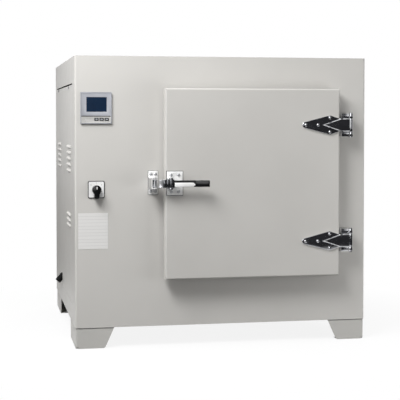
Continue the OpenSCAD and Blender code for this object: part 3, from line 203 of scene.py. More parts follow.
liner_steel = brushed_metal("stainless_brushed_upright", "#BEBFC0", "#D2D3D4", along="Z", rough=0.44)
duct_steel = brushed_metal("stainless_brushed_deep", "#B8BABB", "#CDCECF", along="Y", rough=0.4)
shelf_steel = brushed_metal("stainless_brushed_across", "#B9BBBD", "#D4D5D6", along="X", rough=0.24)
tube_steel = brushed_metal("stainless_drawn_tube", "#B0B2B4", "#C8C9CB", along="Y", rough=0.26, length=40.0)
print("sheet metals:", liner_steel.name, shelf_steel.name)

# %% [markdown]
# Zinc-dipped sheet is told by its spangle, flat crystals about a centimetre wide that each catch the
# light a little differently. A Voronoi pattern gives every cell its own random grey.

# %% Zinc spangle
def zinc_spangle(name, dark, light, crystal=9.0):
    made, tree, shader, place = start_material(name, Metallic=1.0)
    cells = add_node(tree, "ShaderNodeTexVoronoi", {"Vector": place, "Scale": 1 / (crystal * MM)})
    shade = add_node(tree, "ShaderNodeSeparateColor", {"Color": cells.outputs["Color"]})
    tone = blend_colours(tree, shade.outputs["Red"], linear(dark), linear(light))
    tree.links.new(tone, shader.inputs["Base Color"])
    tree.links.new(spread(tree, shade.outputs["Green"], 0.3, 0.45, 0.0, 1.0), shader.inputs["Roughness"])
    return made


zinc_sheet = zinc_spangle("zinc_dipped_sheet", "#9EA1A3", "#B6B8BA")
print("zinc sheet:", zinc_sheet.name)

# %% [markdown]
# ## Plated steel
# The hinges are polished nickel, the lever is black nickel and the roller is ground steel. A polished
# surface mirrors the room, so it looks dark where it faces the camera and bright at its turned edges. The
# flanges of the latch and the keeper are satin zinc, which scatters the light and stays pale. Handling
# leaves faint smears that roughen patches of a few centimetres, and the polishing wheel leaves slight
# waves that bend the reflections.

# %% Plated steel
def plated_steel(name, dark, light, rough=0.12, wave=14.0, wave_depth=0.6, metal=1.0):
    made, tree, shader, place = start_material(name, Metallic=metal)
    smear = add_node(tree, "ShaderNodeTexNoise", {"Vector": place, "Scale": 1 / (22 * MM), "Detail": 4.0})
    ripple = add_node(tree, "ShaderNodeTexNoise", {"Vector": place, "Scale": 1 / (wave * MM), "Detail": 1.0})
    tone = blend_colours(tree, spread(tree, smear.outputs["Fac"], 0.0, 1.0), linear(dark), linear(light))
    bump = add_node(
        tree, "ShaderNodeBump",
        {"Height": ripple.outputs["Fac"], "Strength": 0.3, "Distance": wave_depth * MM},
    )
    tree.links.new(tone, shader.inputs["Base Color"])
    tree.links.new(spread(tree, smear.outputs["Fac"], rough - 0.03, rough + 0.05), shader.inputs["Roughness"])
    tree.links.new(bump.outputs["Normal"], shader.inputs["Normal"])
    return made


satin_zinc = plated_steel("zinc_plate_satin", "#F2F2F1", "#F8F8F7", rough=0.4, metal=0.12, wave_depth=0.2)
chrome_plate = plated_steel(
    "nickel_plate_bright", "#CFD0D2", "#E0E1E3", rough=0.12, wave=8.0, wave_depth=0.05
)
screw_plate = plated_steel("nickel_plate_screws", "#A2A3A6", "#B6B7BA", rough=0.16, wave=5.0, wave_depth=0.05)
pale_screws = plated_steel("zinc_plate_screws", "#B4B5B7", "#C6C7C9", rough=0.3, metal=0.45, wave_depth=0.05)
dark_plate = plated_steel(
    "nickel_plate_polished", "#C6C7CA", "#D2D3D6", rough=0.1, wave=40.0, wave_depth=0.06
)
lever_plate = plated_steel("black_nickel_lever", "#8A8B8E", "#98999C", rough=0.16, wave_depth=0.1)
bearing_steel = plated_steel(
    "bearing_steel_ground", "#B9BBBE", "#CDCFD2", rough=0.16, wave=4.0, wave_depth=0.05
)
print("plated steels:", satin_zinc.name, dark_plate.name)

# %% [markdown]
# ## Plastics, rubber and wool
# Injection-moulded plastic copies the fine spark-eroded grain of its mould. It is about 0.2 mm on the
# real parts and is drawn coarser here so that it shows. Silicone is smoother and a little waxy, and
# mineral wool is a mat of pale yellow fibres with darker tufts. A heater's steel sheath tints brown and
# blue where it gets hot, which a colour ramp over a slow noise gives.

# %% Moulded plastic
def moulded_plastic(name, dark, light, rough=0.4, grain=0.8, depth=0.03, coat=0.0, gleam=0.5):
    made, tree, shader, place = start_material(
        name, **{"Coat Weight": coat, "Coat Roughness": 0.08, "Specular IOR Level": gleam}
    )
    pits = add_node(tree, "ShaderNodeTexNoise", {"Vector": place, "Scale": 1 / (grain * MM), "Detail": 3.0})
    flow = add_node(tree, "ShaderNodeTexNoise", {"Vector": place, "Scale": 1 / (30 * MM), "Detail": 2.0})
    tone = blend_colours(tree, spread(tree, flow.outputs["Fac"], 0.0, 1.0), linear(dark), linear(light))
    bump = add_node(
        tree, "ShaderNodeBump", {"Height": pits.outputs["Fac"], "Strength": 0.35, "Distance": depth * MM}
    )
    tree.links.new(tone, shader.inputs["Base Color"])
    tree.links.new(spread(tree, pits.outputs["Fac"], rough - 0.06, rough + 0.06), shader.inputs["Roughness"])
    tree.links.new(bump.outputs["Normal"], shader.inputs["Normal"])
    return made


black_abs = moulded_plastic("abs_moulded_black", "#17181A", "#1E1F22", rough=0.38)
knob_abs = moulded_plastic("abs_polished_black", "#0B0B0C", "#111213", rough=0.14, depth=0.004)
bezel_abs = moulded_plastic("abs_moulded_lavender_grey", "#A6A8AF", "#AEB0B6", rough=0.45)
strip_abs = moulded_plastic("abs_moulded_warm_grey", "#B2B1AE", "#BAB9B6", rough=0.45)
rim_abs = moulded_plastic("abs_moulded_slate", "#5A5C60", "#65676B", rough=0.45)
key_rubber = moulded_plastic("silicone_keys_black", "#141518", "#1B1C20", rough=0.5)
pad_rubber = moulded_plastic("silicone_pads_pale", "#B4B7BC", "#BDC0C4", rough=0.5)
terminal_nylon = moulded_plastic("nylon_moulded_grey", "#858A90", "#92979D", rough=0.45)
# The door seal's material; its dark colour also paints the shade outlines under the latch base and the
# keeper.
dark_seal_and_painted_shade = moulded_plastic("silicone_seal_and_painted_shade_dark", "#2A2B2D", "#353639", rough=0.55, grain=2.0)
gland_rubber = moulded_plastic("rubber_moulded_black", "#060607", "#0B0B0C", rough=0.7, grain=1.5, gleam=0.15)
white_ink = moulded_plastic("paint_filled_white", "#E8E8E6", "#F0F0EE", rough=0.5)
grey_ink = moulded_plastic("ink_screen_printed_grey", "#3E4248", "#4A4E54", rough=0.55)
window_film = moulded_plastic("acrylic_window_navy", "#0D1F35", "#10253C", rough=0.14, grain=6.0, depth=0.003)
lens_clear = moulded_plastic("acrylic_lens_pale", "#D6D8DA", "#E2E4E6", rough=0.15, coat=0.5)
print("plastics:", black_abs.name, bezel_abs.name, window_film.name)

# %% Mineral wool and hot metal
def mineral_wool(name):
    made, tree, shader, place = start_material(name, Roughness=0.95)
    fine = 1 / (3 * MM)
    mapped = add_node(tree, "ShaderNodeMapping", {"Vector": place, "Scale": (1 / (18 * MM), fine, fine)})
    fibres = add_node(
        tree, "ShaderNodeTexNoise", {"Vector": mapped.outputs["Vector"], "Scale": 1.0, "Detail": 6.0}
    )
    tufts = add_node(tree, "ShaderNodeTexNoise", {"Vector": place, "Scale": 1 / (35 * MM), "Detail": 3.0})
    mixed = add_node(
        tree, "ShaderNodeMath", {0: fibres.outputs["Fac"], 1: tufts.outputs["Fac"]}, operation="MULTIPLY"
    )
    matted = spread(tree, mixed.outputs["Value"], 0.0, 1.0, 0.12, 0.4)
    tone = blend_colours(tree, matted, linear("#9C8A4C"), linear("#DCCB8C"))
    bump = add_node(
        tree, "ShaderNodeBump", {"Height": fibres.outputs["Fac"], "Strength": 0.8, "Distance": 1.5 * MM}
    )
    tree.links.new(tone, shader.inputs["Base Color"])
    tree.links.new(bump.outputs["Normal"], shader.inputs["Normal"])
    return made


def heat_tinted_tube(name):
    made, tree, shader, place = start_material(name, Metallic=1.0)
    bands = add_node(tree, "ShaderNodeTexNoise", {"Vector": place, "Scale": 1 / (60 * MM), "Detail": 2.0})
    ramp = add_node(tree, "ShaderNodeValToRGB", {"Fac": bands.outputs["Fac"]})
    ramp.color_ramp.elements[0].position = 0.35
    ramp.color_ramp.elements[0].color = linear("#8A6A45")
    ramp.color_ramp.elements[1].position = 0.65
    ramp.color_ramp.elements[1].color = linear("#5D6474")
    tree.links.new(ramp.outputs["Color"], shader.inputs["Base Color"])
    tree.links.new(spread(tree, bands.outputs["Fac"], 0.3, 0.5), shader.inputs["Roughness"])
    return made


wool = mineral_wool("mineral_wool_board")
heater_sheath = heat_tinted_tube("stainless_heat_tinted")
print("hot side:", wool.name, heater_sheath.name)

# %% [markdown]
# ## The data plate
# Under the switch sits a thin pale plate. It stays bare of words here, so it gets what any such plate
# has before it is filled in: faint ruled rows. A brick pattern with no offset between its courses draws
# them, and a Mapping node turns it upright, because the plate stands in the XZ plane.

# %% Ruled plate
RULED_ROWS = 11


def ruled_plate(name, low, high):
    made, tree, shader, place = start_material(name, Metallic=0.15)
    wide = high.x - low.x
    tall = high.z - low.z
    upright = add_node(
        tree, "ShaderNodeMapping",
        {"Vector": place, "Location": (-low.x, -low.z, 0.0), "Rotation": (math.radians(-90), 0.0, 0.0)},
        vector_type="POINT",
    )
    rows = add_node(
        tree, "ShaderNodeTexBrick",
        {
            "Vector": upright.outputs["Vector"], "Scale": 1.0, "Mortar Size": 0.45 * MM, "Mortar Smooth": 0.3,
            "Brick Width": wide, "Row Height": tall / RULED_ROWS,
            "Color1": linear("#E9E8E6"), "Color2": linear("#E6E5E3"), "Mortar": linear("#CCCBC9"),
        },
        offset=0.0, squash=1.0,
    )
    haze = add_node(tree, "ShaderNodeTexNoise", {"Vector": place, "Scale": 1 / (15 * MM), "Detail": 3.0})
    tree.links.new(rows.outputs["Color"], shader.inputs["Base Color"])
    tree.links.new(spread(tree, haze.outputs["Fac"], 0.32, 0.42), shader.inputs["Roughness"])
    return made


data_plate = ruled_plate("aluminium_foil_ruled", *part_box("data_label"))
print("data plate:", data_plate.name)

# %% [markdown]
# ## Which node wears what
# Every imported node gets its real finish. Those that are replaced further down keep it too, so nothing
# is ever left plain. The table reads as a parts list: finish on the left, pieces on the right.

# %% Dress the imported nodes
finishes = [
    (cabinet_paint, "front_panel left_frame left_cover right_panel rear_panel top_panel base_pan"),
    (door_paint, "door_skin"),
    (foot_paint, "foot_front_left foot_front_right foot_rear_left foot_rear_right"),
    (liner_steel, "chamber_liner door_inner_plate fan_wheel temperature_probe"),
    (duct_steel, "duct_panel shelf_rails"),
    (tube_steel, "vent_pipe vent_damper"),
    (shelf_steel, "shelf_lower shelf_upper"),
    (zinc_sheet, "partition_plate din_rail"),
    (wool, "cabinet_insulation door_insulation"),
    (heater_sheath, "heater_elements"),
    (motor_enamel, "fan_motor"),
    (bearing_steel, "motor_shaft hinge_pins keeper_pin latch_pin keeper_roller"),
    (screw_plate, "cabinet_screws front_screws door_screws"),
    (dark_plate, "hinge_upper_bracket hinge_lower_bracket hinge_upper_strap hinge_lower_strap"),
    (satin_zinc, "keeper_bracket latch_base latch_grip"),
    (lever_plate, "latch_lever"),
    (black_abs, "contactor heater_relay controller_case switch_body switch_frame cable_gland"),
    (terminal_nylon, "terminal_block"),
    (bezel_abs, "controller_bezel"),
    (window_film, "controller_screen"),
    (key_rubber, "key_left key_middle key_right"),
    (knob_abs, "switch_knob"),
    (satin_zinc, "switch_plate"),
    (data_plate, "data_label"),
    (dark_seal_and_painted_shade, "door_seal"),
]
dressed = set()
for finish, names in finishes:
    for name in names.split():
        frame["nodes"][name].data.materials.clear()
        frame["nodes"][name].data.materials.append(finish)
        dressed.add(name)
print("dressed:", len(dressed), "left:", sorted(set(frame["nodes"]) - dressed))

# %% [markdown]
# ## Helpers for shapes
# A sheet or a bar starts as one flat outline that is pushed out to its thickness. Real edges are never
# razor sharp, and it is the small bevel along them that catches the light, so a second helper rounds
# every edge that turns by more than a given angle. A profile spun round an axis gives rollers, barrels,
# rings and screw heads. The last ones make the finished mesh a piece that rides on its body and hide the
# nodes that it stands for. Points closer than a pole's gap are merged where a spin closes on its axis, and
# a weld's gap joins the loose triangles of a copy.

# %% Shape helpers
POLE_GAP = 0.005 * MM
WELD_GAP = 0.02 * MM


def rectangle(left, bottom, right, top):
    return [(left, bottom), (right, bottom), (right, top), (left, top)]


def mirror_down(upper):
    return upper + [(across, -up) for across, up in reversed(upper)]


def slab(outline, plane, start, depth):
    shape = bmesh.new()
    corners = []
    for a, b in outline:
        spot = {"XZ": (a, start, b), "XY": (a, b, start), "YZ": (start, a, b)}[plane]
        corners.append(shape.verts.new(spot))
    face = shape.faces.new(corners)
    push = {"XZ": Vector((0, depth, 0)), "XY": Vector((0, 0, depth)), "YZ": Vector((depth, 0, 0))}[plane]
    grown = bmesh.ops.extrude_face_region(shape, geom=[face])
    moved = [item for item in grown["geom"] if isinstance(item, bmesh.types.BMVert)]
    bmesh.ops.translate(shape, verts=moved, vec=push)
    bmesh.ops.recalc_face_normals(shape, faces=shape.faces)
    return shape


def round_edges(shape, width, segments=2, above=30):
    sharp = [
        edge for edge in shape.edges
        if len(edge.link_faces) == 2 and edge.calc_face_angle() > math.radians(above)
    ]
    bmesh.ops.bevel(
        shape, geom=sharp, offset=width, offset_type="OFFSET", affect="EDGES", segments=segments,
        profile=0.5, material=-1, clamp_overlap=True,
    )


def join(target, other):
    carried = bpy.data.meshes.new("carried")
    other.to_mesh(carried)
    other.free()
    target.from_mesh(carried)
    bpy.data.meshes.remove(carried)


def spin_round(shape, geometry, steps):
    bmesh.ops.spin(
        shape, geom=geometry, cent=(0, 0, 0), axis=(0, 0, 1), angle=math.tau, steps=steps, use_merge=True
    )
    bmesh.ops.remove_doubles(shape, verts=shape.verts, dist=POLE_GAP)
    bmesh.ops.recalc_face_normals(shape, faces=shape.faces)


def turned(profile, place, turn=None, steps=40):
    shape = bmesh.new()
    points = [shape.verts.new((x, 0, z)) for x, z in profile]
    edges = [shape.edges.new(pair) for pair in zip(points, points[1:] + points[:1])]
    spin_round(shape, points + edges, steps)
    matrix = Matrix.Translation(place) @ (turn or Matrix.Identity(4))
    bmesh.ops.transform(shape, verts=shape.verts, matrix=matrix)
    return shape


def make_piece(shape, name, finish, body, stands_for=(), smooth=40):
    mesh = bpy.data.meshes.new(name)
    shape.to_mesh(mesh)
    shape.free()
    mesh.shade_smooth()
    mesh.set_sharp_from_angle(angle=math.radians(smooth))
    mesh.materials.append(finish)
    piece = bpy.data.objects.new(name, mesh)
    bpy.context.scene.collection.objects.link(piece)
    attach(piece, body)
    if stands_for:
        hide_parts(*stands_for)
    print(name, "faces:", len(mesh.polygons))
    return piece


def softened(node, name, finish, body, width, segments=2):
    shape = bmesh.new()
    shape.from_mesh(frame["nodes"][node].data)
    bmesh.ops.remove_doubles(shape, verts=shape.verts, dist=WELD_GAP)
    bmesh.ops.dissolve_limit(
        shape, angle_limit=math.radians(1), use_dissolve_boundaries=False, verts=shape.verts,
        edges=shape.edges, delimit={"NORMAL"},
    )
    round_edges(shape, width, segments)
    return make_piece(shape, name, finish, body, (node,))


print("shape helpers ready")

# %% [markdown]
# ## Screws
# The hinges, the latch and the keeper are held by pan-head screws. The head's half profile is spun
# around its axis, and a cross recess is cut with a Boolean, which is the one tool that cuts such a shape
# cleanly. One head is made once and then copied to every place.

# %% One pan-head screw
def cross_head(radius, height):
    shape = bmesh.new()
    profile = [(0.0, 1.0), (0.35, 0.98), (0.68, 0.86), (0.9, 0.58), (1.0, 0.22), (0.98, 0.0), (0.0, 0.0)]
    points = [shape.verts.new((x * radius, 0.0, z * height)) for x, z in profile]
    edges = [shape.edges.new(pair) for pair in zip(points, points[1:])]
    spin_round(shape, points + edges, 28)
    body_mesh = bpy.data.meshes.new("head")
    shape.to_mesh(body_mesh)
    shape.free()
    cutter_shape = bmesh.new()
    for turn in (0, 90):
        bar = bmesh.ops.create_cube(cutter_shape, size=1.0)["verts"]
        bmesh.ops.scale(cutter_shape, verts=bar, vec=(radius * 1.15, radius * 0.26, height * 0.9))
        quarter = Matrix.Rotation(math.radians(turn), 3, "Z")
        bmesh.ops.rotate(cutter_shape, verts=bar, cent=(0, 0, 0), matrix=quarter)
        bmesh.ops.translate(cutter_shape, verts=bar, vec=(0, 0, height * (0.95 + 0.001 * turn / 90)))
    cutter_mesh = bpy.data.meshes.new("cross")
    cutter_shape.to_mesh(cutter_mesh)
    cutter_shape.free()
    head = bpy.data.objects.new("head", body_mesh)
    cutter = bpy.data.objects.new("cross", cutter_mesh)
    for item in (head, cutter):
        bpy.context.scene.collection.objects.link(item)
    cut = head.modifiers.new("recess", "BOOLEAN")
    cut.operation = "DIFFERENCE"
    cut.solver = "EXACT"
    cut.use_self = True
    cut.object = cutter
    bpy.context.view_layer.update()
    finished = bpy.data.meshes.new_from_object(head.evaluated_get(bpy.context.evaluated_depsgraph_get()))
    for item in (head, cutter):
        bpy.data.objects.remove(item)
    print("screw head faces:", len(finished.polygons))
    return finished


HEAD_RADIUS = 5.4 * MM
HEAD_HEIGHT = 3.8 * MM
LOW_HEAD_HEIGHT = 2.4 * MM
head_mesh = cross_head(HEAD_RADIUS, HEAD_HEIGHT)
low_head_mesh = cross_head(HEAD_RADIUS, LOW_HEAD_HEIGHT)

# %% Screws on the hinges, the latch and the keeper
joint_place = {joint["name"]: Vector(joint.get("pos_m", (0, 0, 0))) for joint in frame["joints"]}
hinge_axis = joint_place["door_hinge"]
latch_axis = joint_place["latch_pivot"]
door_low, door_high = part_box("door_skin")
panel_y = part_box("front_panel")[0].y
strap_heights = [
    (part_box(node)[0].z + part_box(node)[1].z) / 2 for node in ("hinge_lower_strap", "hinge_upper_strap")
]
keeper_low, keeper_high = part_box("keeper_bracket")
base_low, base_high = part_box("latch_base")


def screws_at(places, direction, mesh):
    shape = bmesh.new()
    facing = Vector((0, 0, 1)).rotation_difference(Vector(direction)).to_matrix().to_4x4()
    for count, place in enumerate(places):
        turn = Matrix.Rotation(math.radians(17 + 31 * count), 4, "Z")
        before = len(shape.verts)
        shape.from_mesh(mesh)
        shape.verts.ensure_lookup_table()
        fresh = shape.verts[before:]
        bmesh.ops.transform(shape, verts=fresh, matrix=Matrix.Translation(place) @ facing @ turn)
    return shape


PLATE = 3 * MM
STRAP = 4 * MM
TIP_SCREW_IN = 116 * MM
MIDDLE_SCREW_IN = 74.34 * MM
PAIR_IN = 34 * MM
PAIR_UP = 23.5 * MM
strap_spots = [(-TIP_SCREW_IN, 0), (-MIDDLE_SCREW_IN, 0), (-PAIR_IN, PAIR_UP), (-PAIR_IN, -PAIR_UP)]
door_spots = [
    Vector((door_high.x + dx, door_low.y - STRAP, z + dz)) for z in strap_heights for dx, dz in strap_spots
]
BRACKET_SCREW_IN = 21 * MM
BRACKET_SCREW_UP = 11 * MM
front_spots = [
    Vector((hinge_axis.x - BRACKET_SCREW_IN, panel_y - PLATE, z + up * BRACKET_SCREW_UP))
    for z in strap_heights for up in (-1, 1)
]


def four_round_the_lever(low, high, face_y, aside, away):
    middle = (low.x + high.x) / 2
    return [
        Vector((middle + side * aside, face_y - PLATE, latch_axis.z + up * away))
        for up in (-1, 1) for side in (-1, 1)
    ]


latch_spots = four_round_the_lever(base_low, base_high, door_low.y, 12 * MM, 27 * MM)
keeper_spots = four_round_the_lever(keeper_low, keeper_high, panel_y, 7.5 * MM, 28 * MM)
screw_groups = [
    ("door_screw_heads", door_spots, screw_plate, "door", ("door_screws",)),
    ("front_screw_heads", front_spots, screw_plate, "cabinet", ("front_screws",)),
    ("latch_screw_heads", latch_spots, pale_screws, "door", ()),
    ("keeper_screw_heads", keeper_spots, pale_screws, "cabinet", ()),
]
for name, spots, finish, body, stands_for in screw_groups:
    make_piece(screws_at(spots, (0, -1, 0), head_mesh), name, finish, body, stands_for)

# %% [markdown]
# ## Strap hinges
# Each hinge is a tapering strap of pressed steel. A V-shaped rib rises towards the knuckle and stiffens
# it. The flat strap is an outline pushed out to 4 mm and bevelled. The rib is a second outline whose
# front face is inset and raised, which gives it the sloping flanks that catch the light as two lines.

# %% Strap hinges
KNUCKLE = 7 * MM
KNUCKLE_HALF = 21 * MM
KNUCKLE_BORE = 3.8 * MM
STRAP_REACH = 118 * MM
STRAP_TIP = 10 * MM
SHOULDER_IN = 35 * MM
RIB_REACH = 60 * MM


def arc(centre_x, centre_z, radius, start, end, steps):
    turns = [math.radians(start + (end - start) * i / steps) for i in range(steps + 1)]
    return [(centre_x + radius * math.cos(t), centre_z + radius * math.sin(t)) for t in turns]


def strap_shape(height):
    edge = door_high.x
    tip = edge - STRAP_REACH
    wide = edge - SHOULDER_IN
    upper = [
        (wide - 5 * MM, 30.5 * MM), (wide + 1 * MM, 31.5 * MM), (wide + 6 * MM, 30 * MM),
        (edge - 2 * MM, KNUCKLE_HALF),
    ]
    outline = arc(tip, 0, STRAP_TIP, 252, 108, 12) + mirror_down(upper)
    face_y = door_low.y
    plate = slab([(x, z + height) for x, z in outline], "XZ", face_y, -STRAP)
    round_edges(plate, 1.1 * MM, 3, above=40)
    rib_start = edge + 3 * MM
    rib_end = hinge_axis.x - 8 * MM
    rib = slab(
        [
            (edge - RIB_REACH, height), (rib_start, height + KNUCKLE_HALF), (rib_end, height + KNUCKLE_HALF),
            (rib_end, height - KNUCKLE_HALF), (rib_start, height - KNUCKLE_HALF),
        ],
        "XZ", face_y - STRAP + 0.2 * MM, -0.4 * MM,
    )
    top = [face for face in rib.faces if face.normal.y < -0.9]
    bmesh.ops.inset_region(rib, faces=top, thickness=2.3 * MM, depth=2.4 * MM, use_even_offset=True)
    round_edges(rib, 0.7 * MM, 3, above=18)
    join(plate, rib)
    wrap = slab(
        [
            (edge - 2 * MM, face_y - STRAP - 1.8 * MM), (edge - 2 * MM, face_y), (edge + 4 * MM, face_y),
            (hinge_axis.x - KNUCKLE * 0.7, hinge_axis.y + KNUCKLE * 0.4), (hinge_axis.x, hinge_axis.y),
            (hinge_axis.x - KNUCKLE * 0.8, hinge_axis.y - KNUCKLE * 0.6),
            (edge + 8 * MM, face_y - STRAP - 2.2 * MM),
        ],
        "XY", height - KNUCKLE_HALF, 2 * KNUCKLE_HALF,
    )
    round_edges(wrap, 0.6 * MM, 2, above=25)
    join(plate, wrap)
    rings = [KNUCKLE_HALF * step / 6 for step in range(-6, 7)]
    crown = [(KNUCKLE - 0.5 * MM * (z / KNUCKLE_HALF) ** 2, z) for z in rings]
    crown[0] = (crown[0][0] - 0.5 * MM, -KNUCKLE_HALF)
    crown[-1] = (crown[-1][0] - 0.5 * MM, KNUCKLE_HALF)
    bored = [(KNUCKLE_BORE, -KNUCKLE_HALF)] + crown + [(KNUCKLE_BORE, KNUCKLE_HALF)]
    join(plate, turned(bored, (hinge_axis.x, hinge_axis.y, height)))
    return plate


for height, name in zip(strap_heights, ("hinge_lower_strap", "hinge_upper_strap")):
    make_piece(strap_shape(height), name + "_pressed", dark_plate, "door", (name,), smooth=30)
for name in ("hinge_lower_bracket", "hinge_upper_bracket"):
    softened(name, name + "_rounded", dark_plate, "cabinet", 0.8 * MM)

# %% [markdown]
# ## The latch and its keeper
# The lever turns on an upright pin between two ears. It is a black plated block whose round nose runs
# onto the keeper's roller. Thin dark sheets under the base and the keeper paint the shade round their
# edges. The grip is a black moulding with a pale inlay let into its front, pointed at one end, and it
# flares into a tip for the fingers. The base and the keeper are copies of the imported solids with their
# edges rounded. Their flanges are satin, and the parts that stand out from them are polished, which is
# chosen by each face's place and, on the keeper, also by the way it faces.

# %% Painted shade outlines, base and keeper
SHADE_SHEET_THICK = 0.8 * MM
STANDS_OUT = 0.5 * MM


# Painted shade: a thin dark sheet a little larger than the part shows as a dark outline round it.
def gasket(low, high, face_y, margin, name, body):
    around = rectangle(low.x - margin, low.z - margin, high.x + margin, high.z + margin)
    sheet = slab(around, "XZ", face_y, -SHADE_SHEET_THICK)
    make_piece(sheet, name, dark_seal_and_painted_shade, body)


gasket(base_low, base_high, door_low.y, 1.8 * MM, "latch_base_painted_shade", "door")
gasket(keeper_low, keeper_high, panel_y, 1.0 * MM, "keeper_painted_shade", "cabinet")

base = softened("latch_base", "latch_base_rounded", satin_zinc, "door", 0.7 * MM)
keeper = softened("keeper_bracket", "keeper_bracket_rounded", satin_zinc, "cabinet", 0.7 * MM)
base.data.materials.append(dark_plate)
keeper.data.materials.append(chrome_plate)
for face in base.data.polygons:
    if face.center.y < door_low.y - PLATE - STANDS_OUT:
        face.material_index = 1
for face in keeper.data.polygons:
    if face.center.y < panel_y - PLATE - STANDS_OUT and face.normal.y > -0.6:
        face.material_index = 1

# %% Lever and nose
lever_low, lever_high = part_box("latch_lever")
lever_half = (lever_high.y - lever_low.y) / 2
nose_x = lever_low.x + lever_half
front = lever_low.y
block = slab(
    [
        (nose_x + 6.5 * MM, front + 1.5 * MM), (nose_x + 9 * MM, front), (nose_x + 17 * MM, front),
        (nose_x + 18.2 * MM, front + 1.6 * MM), (nose_x + 19.4 * MM, front), (nose_x + 28 * MM, front),
        (nose_x + 29.2 * MM, front + 1.6 * MM), (nose_x + 30.4 * MM, front), (lever_high.x, front),
        (lever_high.x, lever_high.y), (nose_x + 6.5 * MM, lever_high.y),
    ],
    "XY", lever_low.z, lever_high.z - lever_low.z,
)
round_edges(block, 0.7 * MM, 3)
make_piece(block, "latch_lever_cast", lever_plate, "latch", ("latch_lever",))

nose_half = (lever_high.z - lever_low.z) / 2
nose_profile = mirror_down([
    (0.5 * MM, nose_half), (lever_half - 1 * MM, nose_half), (lever_half, nose_half - 1 * MM),
    (lever_half, nose_half - 3.2 * MM), (lever_half - 1 * MM, nose_half - 4.2 * MM),
])
nose = turned(nose_profile, (nose_x, latch_axis.y, latch_axis.z))
make_piece(nose, "latch_nose_turned", pale_screws, "latch", smooth=50)

# %% Grip, inlay and tip
grip_low, grip_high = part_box("latch_grip")
bar_front = latch_axis.y - 10 * MM
bar_end = grip_high.x - 44.6 * MM
bar_face = bar_front + 0.6 * MM
bar_back = bar_front + 9.5 * MM
bar = slab(
    [
        (bar_face, grip_low.z), (bar_back, grip_low.z), (bar_back, grip_high.z),
        (bar_front + 5.5 * MM, grip_high.z), (bar_face, grip_high.z - 6 * MM),
    ],
    "YZ", grip_low.x, bar_end - grip_low.x,
)
round_edges(bar, 0.8 * MM, 3)
make_piece(bar, "latch_grip_bar", knob_abs, "latch", ("latch_grip",))

inlay_low = grip_low.z + 0.6 * MM
inlay_high = grip_high.z - 7 * MM
inlay_mid = (inlay_low + inlay_high) / 2
inlay = slab(
    [
        (grip_low.x + 0.8 * MM, inlay_low), (bar_end - 8 * MM, inlay_low), (bar_end - 1 * MM, inlay_mid),
        (bar_end - 8 * MM, inlay_high), (grip_low.x + 0.8 * MM, inlay_high),
    ],
    "XZ", bar_front + 1 * MM, -0.95 * MM,
)
round_edges(inlay, 0.4 * MM, 2)
make_piece(inlay, "latch_grip_inlay", satin_zinc, "latch")

tip = slab(
    [
        (bar_end - 1 * MM, bar_front - 0.4 * MM), (grip_high.x - 4 * MM, grip_low.y + 0.4 * MM),
        (grip_high.x - 0.5 * MM, grip_low.y + 4 * MM), (grip_high.x - 1.5 * MM, grip_low.y + 8 * MM),
        (bar_end - 1 * MM, bar_front + 9.8 * MM),
    ],
    "XY", grip_low.z, grip_high.z - grip_low.z,
)
round_edges(tip, 2.2 * MM, 4)
make_piece(tip, "latch_grip_tip", knob_abs, "latch")

# %% Keeper roller
roller_low, roller_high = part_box("keeper_roller")
roller_axis = joint_place["roller_spin"]
outer = (roller_high.x - roller_low.x) / 2
roller_half = (roller_high.z - roller_low.z) / 2
roller_profile = mirror_down([
    (3.2 * MM, roller_half), (outer - 1.2 * MM, roller_half), (outer, roller_half - 1.2 * MM),
    (outer, roller_half - 3 * MM), (outer - 0.9 * MM, roller_half - 4 * MM),
])
roller = turned(roller_profile, (roller_axis.x, roller_axis.y, latch_axis.z))
make_piece(roller, "keeper_roller_turned", bearing_steel, "keeper_wheel", ("keeper_roller",))

# %% [markdown]
# ## The controller
# The controller is a pale moulded bezel with a slate outline, a dark window and three soft keys. The
# window is off, so it stays plain navy. A groove parts the window's field from the warmer strip that
# holds two small lamps and the keys, and the shade in it is painted as a thin black strip. Each key is a
# dark ring round a pale pad with a generic mark.

# %% Controller bezel
DIVIDER_DOWN = 26.5 * MM
RIM_WIDTH = 2.55 * MM
GROOVE_IN = 2.6 * MM
GROOVE_HALF = 1.3 * MM
bezel = softened("controller_bezel", "controller_bezel_moulded", bezel_abs, "cabinet", 0.4 * MM)
bezel_low, bezel_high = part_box("controller_bezel")
bezel_mid = (bezel_low + bezel_high) / 2
divider_z = bezel_mid.z - DIVIDER_DOWN
bezel.data.materials.append(rim_abs)
bezel.data.materials.append(strip_abs)
for face in bezel.data.polygons:
    middle = face.center
    inside = min(
        middle.x - bezel_low.x, bezel_high.x - middle.x, middle.z - bezel_low.z, bezel_high.z - middle.z
    )
    if inside < RIM_WIDTH:
        face.material_index = 1
    elif middle.z < divider_z:
        face.material_index = 2
bezel_face = bezel_low.y + 0.8 * MM
# Painted shade: a thin black strip over the groove stands for the shade inside it.
groove_shade_outline = rectangle(
    bezel_low.x + GROOVE_IN, divider_z - GROOVE_HALF, bezel_high.x - GROOVE_IN, divider_z + GROOVE_HALF
)
groove_shade_strip = slab(groove_shade_outline, "XZ", bezel_face + 0.2 * MM, -0.25 * MM)
make_piece(groove_shade_strip, "controller_groove_shade", black_abs, "cabinet")

